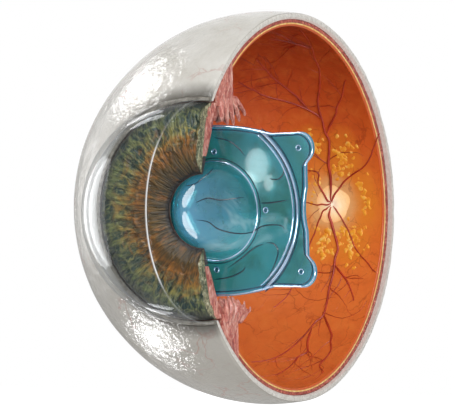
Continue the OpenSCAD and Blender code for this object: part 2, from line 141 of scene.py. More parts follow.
# A material and the nodes that give it its look.
class Finish:
    def __init__(self, name):
        self.material = bpy.data.materials.new(name)
        self.material.use_nodes = True
        self.tree = self.material.node_tree
        self.tree.nodes.clear()
        self.place = self.put("ShaderNodeTexCoord", out="Object")

    # Adds a node: its settings first, then the values or links of its sockets.
    def put(self, kind, settings=None, sockets=None, out=0):
        node = self.tree.nodes.new(kind)
        for key, value in (settings or {}).items():
            if key == "stops":
                ramp = node.color_ramp.elements
                while len(ramp) < len(value):
                    ramp.new(1)
                for stop, (at, colour) in zip(ramp, value):
                    stop.position = at
                    stop.color = colour
            else:
                setattr(node, key, value)
        for key, value in (sockets or {}).items():
            if isinstance(value, Flow):
                self.tree.links.new(value.socket, node.inputs[key])
            else:
                node.inputs[key].default_value = value
        return node if out is None else Flow(self, node.outputs[out])

    def math(self, operation, first, second):
        return self.put("ShaderNodeMath", {"operation": operation}, {0: first, 1: second})

    # 0 below low, 1 above high, and a smooth step between
    def step(self, value, low, high):
        return self.put("ShaderNodeMapRange", {"interpolation_type": "SMOOTHSTEP"},
                        {"Value": value, "From Min": low, "From Max": high})

    def mix(self, share, first, second, blend="MIX"):
        return self.put("ShaderNodeMix", {"data_type": "RGBA", "blend_type": blend, "clamp_factor": True},
                        {0: share, 6: first, 7: second}, 2)

    def ramp(self, value, stops):
        return self.put("ShaderNodeValToRGB", {"stops": stops}, {"Fac": value})

    def scaled(self, vector, factors):
        return self.put("ShaderNodeVectorMath", {"operation": "MULTIPLY"}, {0: vector, 1: factors})

    def noise(self, size, detail=3, rough=0.5, warp=0.0, where=None):
        return self.put("ShaderNodeTexNoise", None, {"Vector": where or self.place, "Scale": 1000 / size,
                        "Detail": detail, "Roughness": rough, "Distortion": warp})

    def cells(self, size, feature="F1", where=None):
        return self.put("ShaderNodeTexVoronoi", {"feature": feature},
                        {"Vector": where or self.place, "Scale": 1000 / size}, "Distance")

    def axis(self, name):
        return self.put("ShaderNodeSeparateXYZ", None, {0: self.place}, name)

    def attribute(self, name):
        return self.put("ShaderNodeAttribute", {"attribute_name": name}, None, "Fac")

    # the place moved about by coloured noise: place + colour * reach
    def swayed(self, scale, reach):
        colour = self.put("ShaderNodeTexNoise", None, {"Vector": self.place, "Scale": scale, "Detail": 4.0}, 1)
        return self.put("ShaderNodeVectorMath", {"operation": "ADD"},
                        {0: self.place, 1: self.scaled(colour, (reach, reach, reach))})

    def bump(self, height, depth):
        return self.put("ShaderNodeBump", None,
                        {"Height": height, "Distance": depth / 1000, "Strength": 1.0})

    def shader(self, values):
        return self.put("ShaderNodeBsdfPrincipled", None, values)

    def done(self, shader):
        self.put("ShaderNodeOutputMaterial", None, {"Surface": shader}, None)
        return self.material


# A colour from its display values, 0 to 255 = linear light by the display's 2.4 power curve.
def tint(red, green, blue, alpha=1.0):
    part = [v / 255 for v in (red, green, blue)]
    return (*[v / 12.92 if v <= 0.04045 else ((v + 0.055) / 1.055) ** 2.4 for v in part], alpha)


# Plain two-tone finish: noise runs from the dark colour at 0.3 to the light one at 0.7, and
# also gives the bump. spread = the noise's detail and roughness.
def twoToneFinish(name, size, dark, light, rough, coat, depth, spread=(3, 0.5), **more):
    f = Finish(name)
    shade = f.noise(size, *spread)
    values = {"Base Color": f.ramp(shade, [(0.3, tint(*dark)), (0.7, tint(*light))]), "Roughness": rough,
              "Coat Weight": coat, "Normal": f.bump(shade, depth)}
    return f.done(f.shader(dict(values, **more)))


# Smooth noise from -1 to 1: each corner of a lattice gets a number from its own place,
# and the eight round a point are blended by 3t^2 - 2t^3 along each side.
def latticeNoise(points, size, seed=1):
    scaled = np.asarray(points, float) / size
    base = np.floor(scaled).astype(np.int64)
    part = scaled - base
    part = part * part * (3 - 2 * part)
    total = np.zeros(scaled.shape[:-1])
    for corner in np.ndindex(2, 2, 2):
        spot = base + np.array(corner)
        mixed = (spot[..., 0] * 73856093) ^ (spot[..., 1] * 19349663) ^ (spot[..., 2] * 83492791)
        mixed = (mixed ^ (seed * 2654435761)) & 0xFFFFFFFF
        mixed = ((mixed ^ (mixed >> 15)) * 2246822519) & 0xFFFFFFFF
        mixed = ((mixed ^ (mixed >> 13)) * 3266489917) & 0xFFFFFFFF
        mixed = (mixed ^ (mixed >> 16)) & 0xFFFF
        weight = np.prod(np.where(np.array(corner) > 0, part, 1 - part), axis=-1)
        total = total + weight * mixed / 65535
    return total * 2 - 1


# Lattice noise at three coordinates given apart.
def noiseAt(first, second, third, seed):
    return latticeNoise(np.stack(np.broadcast_arrays(first, second, third), -1), 1, seed)


# Noise of several sizes = the sum of lattice noise, each layer half as large and half as strong.
def layeredNoise(points, size, layers=3, seed=1):
    return sum(latticeNoise(points, size / 2 ** k, seed + k) / 2 ** k for k in range(layers))


# Smooth step from 0 at low to 1 at high.
def smoothStep(value, low, high):
    part = np.clip((value - low) / (high - low), 0, 1)
    return part * part * (3 - 2 * part)


# Grids of points become one mesh: row i, column j and their neighbours make a quad.
# Seams and poles are merged afterwards, and the faces turned to point outwards.
def gridPiece(name, body, material, grids, uvs=None, fields=None, replaces=(), crease=60):
    points, faces, start = [], [], 0
    for grid in grids:
        rows, columns = grid.shape[:2]
        corner = np.arange(rows * columns).reshape(rows, columns)[:-1, :-1].ravel() + start
        faces.append(np.stack([corner, corner + 1, corner + columns + 1, corner + columns], -1))
        points.append(grid.reshape(-1, 3))
        start += rows * columns
    points, faces = np.concatenate(points), np.concatenate(faces)
    mesh = bpy.data.meshes.new(name)
    mesh.vertices.add(len(points))
    mesh.vertices.foreach_set("co", points.astype(np.float32).ravel())
    mesh.loops.add(faces.size)
    mesh.loops.foreach_set("vertex_index", faces.ravel().astype(np.int32))
    mesh.polygons.add(len(faces))
    mesh.polygons.foreach_set("loop_start", np.arange(0, faces.size, 4, dtype=np.int32))
    mesh.update(calc_edges=True)
    if uvs is not None:
        flat = np.concatenate([uv.reshape(-1, 2) for uv in uvs])
        mesh.uv_layers.new(name="lay").data.foreach_set("uv", flat[faces.ravel()].astype(np.float32).ravel())
    for key, values in (fields or {}).items():
        flat = np.concatenate([np.ravel(v) for v in values]).astype(np.float32)
        mesh.attributes.new(key, "FLOAT", "POINT").data.foreach_set("value", flat)
    work = bmesh.new()
    work.from_mesh(mesh)
    bmesh.ops.remove_doubles(work, verts=work.verts, dist=2e-6)
    bmesh.ops.dissolve_degenerate(work, edges=work.edges, dist=1e-7)
    bmesh.ops.recalc_face_normals(work, faces=work.faces)
    work.to_mesh(mesh)
    work.free()
    mesh.shade_smooth()
    mesh.set_sharp_from_angle(angle=math.radians(crease))
    piece = bpy.data.objects.new(name, mesh)
    bpy.context.scene.collection.objects.link(piece)
    mesh.materials.append(material)
    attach(piece, body)
    if replaces:
        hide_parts(*replaces)
    print(name, "made,", len(mesh.polygons), "faces")
    return piece


# A surface like the pages of a book that turn about an upright line, where the front edge
# plane meets the cut face. Page = plane at an angle between that of the edge plane and
# that of the cut face; on it the surface is an arc of radius sqrt(rho^2 - h^2), with h the
# page's distance from the sphere's centre. radiusAt gives rho for each (side, ahead, up).
def bookSurface(corner, angles, start, radiusAt, pages, columns):
    lean = (angles[0] + (angles[1] - angles[0]) * np.asarray(pages))[:, None]
    share = np.linspace(0, 1, columns)[None, :]
    alongSide, alongAhead = -np.cos(lean), np.sin(lean)
    awaySide, awayAhead = np.sin(lean), np.cos(lean)
    h = corner[0] * awaySide + corner[1] * awayAhead
    reach = corner[0] * alongSide + corner[1] * alongAhead
    rho = np.full((len(pages), columns), start)
    for _ in range(9):
        chord = np.sqrt(rho * rho - h * h)
        half = np.arccos(np.clip(reach / chord[:, :1], -1, 1))
        gamma = half * (1 - 2 * share)
        side = h * awaySide + chord * np.cos(gamma) * alongSide
        ahead = h * awayAhead + chord * np.cos(gamma) * alongAhead
        up = chord * np.sin(gamma)
        rho = radiusAt(side, ahead, up)
    return np.stack([side, ahead, up], -1)


# A coat's rear sphere: its reach behind the globe's middle, and how far forward its own
# centre is set = (r^2 - reach^2) / (2 reach).
def rearSphere(radius, depth):
    reach = eyeRadius - depth
    return reach, (radius * radius - reach * reach) / (2 * reach)


# A coat's radius: e*m + sqrt(r^2 + (e*m)^2), a sphere set forward by e behind the globe's
# middle, where m is the smooth lesser of the forward cosine and 0.
def coatRadius(side, ahead, up, radius, depth):
    _, shift = rearSphere(radius, depth)
    cosine = ahead / np.sqrt(side ** 2 + ahead ** 2 + up ** 2)
    lesser = (cosine - np.sqrt(cosine * cosine + 0.02)) / 2
    return shift * lesser + np.sqrt(radius * radius + (shift * lesser) ** 2)


# Rounded edge: how far a face drops at distance d from the cut = f - sqrt(f^2 - (f - d)^2).
def roundedDrop(distance, fillet):
    inward = np.clip(fillet - distance, 0, fillet)
    return fillet - np.sqrt(fillet * fillet - inward * inward)


# Page shares from 0 to 1: even steps up to 85 degrees, then closer and closer to the cut.
def pageAngles(coarse):
    near = 90 - np.array([4, 2.6, 1.7, 1.2, 0.9, 0.7, 0.55, 0.42, 0.3, 0.2, 0.12, 0.05, 0.0])
    return np.concatenate([np.linspace(0, 85, coarse), near]) / 90


# Fade along a page = the square root of half a sine wave, 0 at both ends.
def pageFade(columns):
    return np.sin(np.linspace(0, np.pi, columns)) ** 0.5


# One coat as a closed shell: the outer face, the band in the cut face, the inner face and
# the front edge, each joined to the next. Returns the grid, the field of the cut band, the
# band's first row and the row after its last.
def coatShell(settings, outerAt, innerAt):
    corner, angles = (cutSide, settings["edge"]), (settings["lean"], -math.pi / 2)

    def face(radiusAt, pages):
        return bookSurface(corner, angles, eyeRadius, radiusAt, pageAngles(pages), settings["columns"])

    outer, inner = face(outerAt, settings["outerPages"]), face(innerAt, settings["innerPages"])
    share = np.linspace(0, 1, settings["band"] + 1)[1:-1, None, None]
    band = outer[-1] * (1 - share) + inner[-1] * share
    front = inner[0] * (1 - share) + outer[0] * share
    grid = np.concatenate([outer, band, inner[::-1], front, outer[:1]])
    cutField = np.zeros(grid.shape[:2])
    first, after = len(outer), len(outer) + len(band)
    cutField[first - settings["rim"]:after + settings["lip"]] = 1
    return grid, cutField, first, after


frontCorner = (eye["limbusAhead"] - cutSide * math.sin(eye["turn"])) / math.cos(eye["turn"])
scleraSettings = {"edge": frontCorner, "lean": eye["turn"], "outerPages": 92, "innerPages": 14,
                  "columns": 420, "band": 9, "rim": 5, "lip": 2, "innerRadius": 58.25, "innerDepth": 4.35,
                  "boreGap": 0.05, "thinnest": 0.8, "fillet": 0.8, "swell": 0.10, "swellSize": 14,
                  "pits": 0.10, "pitSize": 1.5, "sink": 0.05}


# Outer face = the globe's sphere; inner face = the coat's radius, or the bore's where that
# is further out; soft swellings outside and pits in the cut are added by noise.
def makeSclera():
    use = scleraSettings
    turnIn = eye["boreRadius"] + use["boreGap"]

    def outerAt(side, ahead, up):
        return eyeRadius - roundedDrop(cutSide - side, use["fillet"]) + 0 * up

    def innerAt(side, ahead, up):
        rho = coatRadius(side, ahead, up, use["innerRadius"], use["innerDepth"])
        across = side * math.cos(eye["turn"]) - ahead * math.sin(eye["turn"])
        radial = np.sqrt(across ** 2 + up ** 2) / np.sqrt(side ** 2 + ahead ** 2 + up ** 2)
        bore = np.where(ahead > 0, turnIn / np.maximum(radial, 0.2), 0)
        return np.clip(np.maximum(rho, bore), 0, eyeRadius - use["thinnest"])

    grid, cutField, _, bandEnd = coatShell(use, outerAt, innerAt)
    out = grid / np.linalg.norm(grid, axis=-1, keepdims=True)
    ends = pageFade(use["columns"])
    frontward = grid[..., 1] * math.cos(eye["turn"]) + grid[..., 0] * math.sin(eye["turn"])
    behindLimbus = smoothStep(eye["limbusAhead"] - frontward, 0, 6)
    waves = use["swell"] * layeredNoise(grid, use["swellSize"], 3, 3) * behindLimbus
    waves[bandEnd:] = 0
    rough = use["pits"] * layeredNoise(grid, use["pitSize"], 2, 9) * cutField * ends
    grid = grid + out * (waves * ends)[..., None]
    grid[..., 0] += rough - use["sink"] * cutField * ends
    gridPiece("scleraShell", "globe", scleraFinish(), gridsToRow([grid]),
              fields={"cut": [cutField]}, replaces=["sclera"])


# Warm grey-white with soft patches, thin pink vessels and a wet, uneven gloss; painted shade makes it
# browner below, and a painted shadow darkens it by the cornea. The cut face is smooth and pale, pink on its
# inner side.
def scleraFinish():
    f = Finish("scleraFinish")
    height = f.axis("Z") * 1000
    patches = f.noise(22, 5, 0.6, 0.4)
    white = f.ramp(patches, [(0.28, tint(184, 180, 170)), (0.5, tint(202, 199, 192)),
                             (0.72, tint(217, 215, 210))])
    # painted shade: darker and browner towards the bottom
    white = f.mix(f.step(height, 6, -52) * 0.65, white, tint(158, 151, 139))
    veinCells = f.cells(17, "DISTANCE_TO_EDGE", f.swayed(90.0, 0.016))
    veins = f.step(veinCells, 0.026, 0.0) * f.step(f.noise(16, 2), 0.48, 0.64)
    white = f.mix(veins * 0.4, white, tint(170, 104, 92))
    side = f.axis("X") * 1000 - eyeSide
    ahead = eyeDepth - f.axis("Y") * 1000
    front = ahead * math.cos(eye["turn"]) + side * math.sin(eye["turn"])
    # painted shadow on the sclera round the cornea, strongest above and below it
    paintedRimShadow = f.step(front + (f.noise(6, 3) - 0.5) * 1.4, eye["limbusAhead"] - 3.6, eye["limbusAhead"] + 0.4)
    shadowAboveBelow = f.step(f.put("ShaderNodeMath", {"operation": "ABSOLUTE"}, {0: height}), 15, 27)
    white = f.mix(paintedRimShadow * (0.1 + shadowAboveBelow * 0.8), white, tint(62, 57, 46))
    cut = f.attribute("cut")
    out = (side * side + ahead * ahead + height * height) ** 0.5
    grain = f.noise(0.75, 4, 0.6)
    edge = f.ramp(grain, [(0.25, tint(190, 182, 172)), (0.45, tint(216, 211, 203)), (0.62, tint(231, 227, 220)),
                          (0.8, tint(246, 244, 240))])
    edge = f.mix(f.step(out, 58.9, 57.8) * 0.4, edge, tint(208, 146, 132))
    colour = f.mix(cut, white, edge)
    wet = f.noise(5, 5, 0.7)
    relief = (f.noise(6, 6, 0.62) + f.noise(1.6, 3, 0.6) * 0.12) * (1 - cut) + f.noise(0.6, 3, 0.6) * cut * 0.4
    return f.done(f.shader({"Base Color": colour, "Roughness": 0.04 + wet * 0.2 + cut * 0.22,
                            "Normal": f.bump(relief, 0.8), "Specular IOR Level": 0.8,
                            "Coat Weight": f.step(wet, 0.5, 0.7) * 0.25, "Coat Roughness": 0.08}))


choroidSettings = {"edge": eye["oraAhead"], "lean": 0.0, "outerPages": 12, "innerPages": 12,
                   "columns": 420, "band": 6, "rim": 2, "lip": 2, "outer": (58.15, 4.45),
                   "inner": (57.25, 6.15), "pits": 0.12, "pitSize": 1.1, "sink": 0.12}


# Both faces = coat radii; the band in the cut is pitted by noise and sunk a little.
def makeChoroid():
    use = choroidSettings
    grid, cutField, *_ = coatShell(use, lambda s, a, u: coatRadius(s, a, u, *use["outer"]),
                                   lambda s, a, u: coatRadius(s, a, u, *use["inner"]))
    pits = use["pits"] * layeredNoise(grid, use["pitSize"], 2, 21) - use["sink"]
    grid[..., 0] += pits * cutField * pageFade(use["columns"])
    gridPiece("choroidShell", "globe", choroidFinish(), gridsToRow([grid]), replaces=["choroid"])


# Dark blood red with brighter specks.
def choroidFinish():
    f = Finish("choroidFinish")
    specks = f.noise(0.9, 4, 0.75)
    colour = f.ramp(specks, [(0.3, tint(92, 24, 18)), (0.45, tint(158, 54, 42)), (0.58, tint(202, 100, 80)),
                             (0.72, tint(238, 176, 150))])
    return f.done(f.shader({"Base Color": colour, "Roughness": 0.25 + specks * 0.3, "Coat Weight": 0.5,
                            "Normal": f.bump(specks, 0.3)}))


retinaSettings = {"edge": eye["oraAhead"], "lean": 0.0, "outerPages": 12, "innerPages": 92,
                  "columns": 420, "band": 6, "rim": 2, "lip": 5, "outer": (57.2, 6.2), "swell": 0.12,
                  "swellSize": 8, "lipRound": 0.5, "pits": 0.05, "pitSize": 1.2}


# The retina's inner face = a coat's radius.
def retinaAt(side, ahead, up):
    return coatRadius(side, ahead, up, eye["retinaRadius"], eye["retinaDepth"])


# Faces = coat radii with a rounded lip at the cut; low swellings by noise inside, and a
# field that runs from 0 at the band's outer edge to 1 inside.
def makeRetina():
    use = retinaSettings

    def innerAt(side, ahead, up):
        return retinaAt(side, ahead, up) + roundedDrop(cutSide - side, use["lipRound"])

    grid, cutField, bandStart, bandEnd = coatShell(
        use, lambda s, a, u: coatRadius(s, a, u, *use["outer"]), innerAt)
    ends = pageFade(use["columns"])
    out = grid / np.linalg.norm(grid, axis=-1, keepdims=True)
    fromCut = smoothStep(cutSide - grid[..., 0], 0.3, 4)
    waves = use["swell"] * layeredNoise(grid, use["swellSize"], 3, 5) * fromCut
    waves[:bandEnd] = 0
    grid = grid + out * (waves * ends)[..., None]
    grid[..., 0] += use["pits"] * layeredNoise(grid, use["pitSize"], 2, 31) * cutField * ends
    inward = cutField * 0
    inward[bandStart:] = 1
    inward[bandStart:bandEnd] = (np.arange(bandEnd - bandStart)[:, None] + 1) / (bandEnd - bandStart + 1)
    gridPiece("retinaShell", "globe", retinaFinish(), gridsToRow([grid]),
              fields={"cut": [cutField], "inward": [inward]}, replaces=["retina"])


# Where the deposits gather on the retina: (side, up) of each cluster's middle, its spread
# to the side and up, and how many drops it has, in millimetres.
depositClusters = [(-2.0, 16.0, 3.2, 6.0, 34), (-12.6, 20.0, 3.6, 3.6, 26), (-10.6, -12.6, 2.8, 4.2, 30),
                   (-0.8, -13.0, 3.6, 5.2, 40), (3.6, 1.5, 2.6, 6.5, 26), (-14.2, 5.0, 1.6, 5.6, 14),
                   (-6.0, 11.5, 3.0, 2.4, 14), (-5.5, -9.0, 2.6, 2.0, 12)]


# Orange, redder and darker towards the top as painted shade, with fine branching vessels, a pale glow round
# the disc and a cream cut edge.
def retinaFinish():
    f = Finish("retinaFinish")
    height = f.axis("Z") * 1000
    # painted shade: the ramp runs darker towards the top
    shadeHeight = height + (f.noise(34, 3) - 0.5) * 14
    colour = f.ramp(f.put("ShaderNodeMapRange", None, {"Value": shadeHeight, "From Min": -56.0, "From Max": 56.0}),
                    [(0.0, tint(206, 104, 48)), (0.25, tint(230, 124, 56)), (0.5, tint(238, 128, 50)),
                     (0.68, tint(226, 108, 42)), (0.84, tint(196, 82, 34)), (1.0, tint(150, 48, 22))])
    mottle = f.noise(4.5, 5, 0.6)
    colour = f.mix(f.step(mottle, 0.45, 0.8) * 0.25, colour, tint(246, 160, 76))
    colour = f.mix(f.step(mottle, 0.5, 0.2) * 0.25, colour, tint(160, 60, 26))
    across = f.axis("X") * 1000 - (eyeSide + eye["nerveSide"])
    out = (across * across + height * height) ** 0.5 + (f.noise(5, 4) - 0.5) * 5
    behind = f.step(f.axis("Y") * 1000, eyeDepth, eyeDepth + 20)
    colour = f.mix(f.step(out, 23, 9) * behind * 0.35, colour, tint(250, 176, 70))
    colour = f.mix(f.step(out, 12, 5.5) * behind * 0.9, colour, tint(246, 198, 132))
    for s, u, spreadSide, spreadUp, _ in depositClusters[:5]:
        farSide = (f.axis("X") * 1000 - (eyeSide + s)) / (spreadSide * 2.2)
        apart = farSide ** 2 + ((height - u) / (spreadUp * 1.8)) ** 2
        glow = f.step(apart + (f.noise(3, 3) - 0.5) * 0.9, 1.0, 0.1) * behind * 0.55
        colour = f.mix(glow, colour, tint(240, 150, 46))
    for size, strength, weight in ((11.0, 0.020, 0.4), (6.0, 0.010, 0.32)):
        twigCells = f.cells(size, "DISTANCE_TO_EDGE", f.swayed(900 / size, strength))
        twigs = f.step(twigCells, 0.035, 0.0) * f.step(f.noise(size, 2), 0.45, 0.62)
        colour = f.mix(twigs * weight, colour, tint(140, 36, 20))
    cut = f.attribute("cut")
    band = f.ramp(f.noise(1.3, 4, 0.7), [(0.3, tint(224, 156, 76)), (0.5, tint(246, 202, 118)),
                                         (0.7, tint(255, 234, 172))])
    inside = f.step(f.attribute("inward") + (f.noise(2, 3) - 0.5) * 0.3, 0.5, 0.75)
    band = f.mix(inside, band, tint(206, 92, 34))
    wet = f.noise(6, 3)
    return f.done(f.shader({"Base Color": f.mix(cut, colour, band), "Roughness": 0.22 + wet * 0.22,
                            "Normal": f.bump(mottle, 0.3), "Coat Weight": 0.15, "Coat Roughness": 0.1}))


makeSclera()
makeChoroid()
makeRetina()


# Ring = a closed profile of (radius, ahead, shift) turned round the front's axis, shifted
# sideways with the profile, from the angle arccos((cut - shift) / radius) at the cut
# face round to the same on the other side. The cut lies at (cut - ahead sin) / cos on the
# front's axes. The ends are closed by rings that close in on the middle of the profile.
def cutRing(profile, columns, ripple=None, capRows=10, capBulge=0.0):
    profile = np.concatenate([profile, profile[:1]])
    radius, ahead, shift = [profile[:, k][:, None] for k in range(3)]
    cutHere = (cutSide - ahead * math.sin(eye["turn"])) / math.cos(eye["turn"])
    first = np.arccos(np.clip((cutHere - shift) / radius, -1, 1))
    share = np.linspace(0, 1, columns)[None, :]
    turn = first + (2 * np.pi - 2 * first) * share
    side = shift + radius * np.cos(turn)
    up = radius * np.sin(turn)
    grid = np.stack([side, ahead + 0 * turn, up], -1)
    if ripple is not None:
        grid = ripple(grid, turn)
    grid = fromFront(grid)
    caps = []
    for end in (grid[:, 0], grid[:, -1]):
        middle = end[:-1].mean(0)
        part = np.linspace(0, 1, capRows)[:, None, None]
        cap = end * (1 - part) + middle * part
        cap[..., 0] += capBulge * np.sin(part[..., 0] * np.pi / 2)
        caps.append(cap)
    return grid, turn, caps


# A ring and its two caps put into the row.
def ringGrids(grid, caps):
    return gridsToRow([grid] + caps)


# Roughens a cut face: noise along side, growing to its full depth over the outer 0.4 of
# the way in from the edge.
def roughenCut(cap, depth, size, seed):
    inward = np.linspace(0, 1, len(cap))[:, None].clip(0, 0.4)
    cap[..., 0] += depth * layeredNoise(cap, size, 2, seed) * inward / 0.4


# A closed outline through points, smoothed by the Catmull-Rom rule.
def smoothLoop(points, steps):
    points = np.asarray(points, float)
    part = np.linspace(0, 1, steps, endpoint=False)[:, None, None]
    before, after, beyond = [np.roll(points, k, 0)[None] for k in (1, -1, -2)]
    here = points[None]
    curve = 0.5 * (2 * here + (after - before) * part + (2 * before - 5 * here + 4 * after - beyond) * part ** 2
                   + (3 * here - before - 3 * after + beyond) * part ** 3)
    return curve.transpose(1, 0, 2).reshape(-1, points.shape[1])


# Open curve through points by the Catmull-Rom rule, with the ends repeated. With clock,
# the second number is an angle that may pass 180 degrees.
def smoothRoute(points, steps=8, clock=True):
    points = np.asarray(points, float).copy()
    if clock:
        points[:, 1] = np.degrees(np.unwrap(np.radians(points[:, 1])))
    held = np.concatenate([points[:1], points, points[-1:]])
    part = np.linspace(0, 1, steps, endpoint=False)[None, :, None]
    p, q, r, s = held[:-3, None], held[1:-2, None], held[2:-1, None], held[3:, None]
    curve = 0.5 * (2 * q + (r - p) * part + (2 * p - 5 * q + 4 * r - s) * part ** 2
                   + (3 * q - p - 3 * r + s) * part ** 3)
    return np.concatenate([curve.reshape(-1, 2), points[-1:]])


irisSettings = {"rim": 31.9, "pupil": 11.0, "foot": 46.2, "crest": 58.5, "pupilAhead": 55.2,
                "pupilShift": 4.28, "columns": 400, "fibres": 0.28, "collar": 0.62,
                "collarRise": 0.45, "pitDepth": 0.5, "ringRise": 0.12,
                # share of the way in: height of the front over the crest
                "front": [(0, -9.1), (.04, -6.0), (.1, -4.6), (.2, -3.3), (.3, -2.5), (.5, -1.25),
                          (.7, -0.25), (.8, 0), (.9, -1.1), (.96, -2.1), (1, -2.7)],
                # share of the way in: share of the way from the pupil's height to the foot's
                "middle": [(0, .66), (.1, .38), (.3, .25), (.5, .15), (.7, .05), (.8, .02), (.9, 0),
                           (1, -0.04)],
                "under": [(0, 1.0), (.07, .75), (.2, .74), (.3, .70), (.5, .52), (.7, .32), (.76, .24)]}


# A point of the iris = (radius, ahead, shift) with the radius from the rim to the pupil
# and the shift from 0 to the cut face by the share t.
def irisPoint(t, ahead):
    use = irisSettings
    return [use["rim"] + (use["pupil"] - use["rim"]) * t, ahead, use["pupilShift"] * t]


# Height of the front = the crest's and the rise at t, by straight lines between known points.
def irisFront(t):
    return irisSettings["crest"] + np.interp(t, *zip(*irisSettings["front"]))


# Height of the layer named = the pupil's height and the known share at t of the way to the foot.
def irisLayer(t, layer):
    use = irisSettings
    return use["pupilAhead"] + (use["foot"] - use["pupilAhead"]) * np.interp(t, *zip(*use[layer]))


# Closed profile = the front's heights from the rim to the pupil and the middle's back again,
# turned round the front's axis; the front carries the relief.
def makeIris():
    use = irisSettings
    tFront = np.concatenate([np.linspace(0, 0.12, 12), np.linspace(0.13, 0.94, 84), np.linspace(0.95, 1, 10)])
    tBack = np.linspace(1, 0, 24)
    smooth = np.convolve(np.pad(irisFront(tFront), 3, mode="edge"), np.ones(7) / 7, "valid")
    front = np.array([irisPoint(t, a) for t, a in zip(tFront, smooth)])
    back = np.array([irisPoint(t, irisLayer(t, "middle")) for t in tBack])
    profile = np.concatenate([front, back])
    share = np.concatenate([tFront, tBack, tFront[:1]])[:, None]
    isFront = np.concatenate([np.ones(len(tFront)), np.zeros(len(tBack)), [0]])[:, None]
    fade = isFront * smoothStep(share, 0.0, 0.06) * smoothStep(1 - share, 0.0, 0.03)

    # relief = thick and thin radial fibres that waver, a raised wavy collar and pits beside it
    def relief(grid, turn):
        around = turn + 0.10 * noiseAt(turn * 2.2, share * 3, 0, 41)
        deep = share + 0 * turn
        ridge = 1 - np.abs(noiseAt(around * 26, deep * 3.2, 0, 43)) * 2
        fine = noiseAt(around * 64, deep * 5, 0, 47)
        collarAt = use["collar"] + 0.035 * noiseAt(turn * 7, 0, 0, 53)
        collar = np.exp(-((deep - collarAt) / 0.035) ** 2)
        pits = smoothStep(noiseAt(around * 9, deep * 9, 0, 59), 0.35, 0.8)
        outer = 1 - smoothStep(deep, collarAt, collarAt + 0.05)
        fibres = use["fibres"] * (ridge * 0.8 + fine * 0.5) * (0.35 + 0.65 * outer)
        rise = fibres + use["collarRise"] * collar - use["pitDepth"] * pits * outer
        rings = use["ringRise"] * np.sin(deep * 46 + 1.5 * noiseAt(turn * 5, 0, 0, 61)) * outer
        grid[..., 1] += fade * (rise + rings)
        return grid

    grid, turn, caps = cutRing(profile, use["columns"], relief, 12)
    deep = share + 0 * turn
    uvs = [np.stack([turn / (2 * np.pi), deep], -1)]
    cutField = [0 * deep]
    for cap, end in zip(caps, (0, -1)):
        shape = cap.shape[:2]
        uvs.append(np.stack([np.full(shape, end * 1.0), np.broadcast_to(deep[:, 0], shape)], -1))
        roughenCut(cap, 0.12, 0.9, 67)
        cutField.append(np.ones(shape))
    gridPiece("irisFront", "iris_unit", irisFinish(), ringGrids(grid, caps), uvs,
              {"cut": cutField}, ["iris_stroma"])
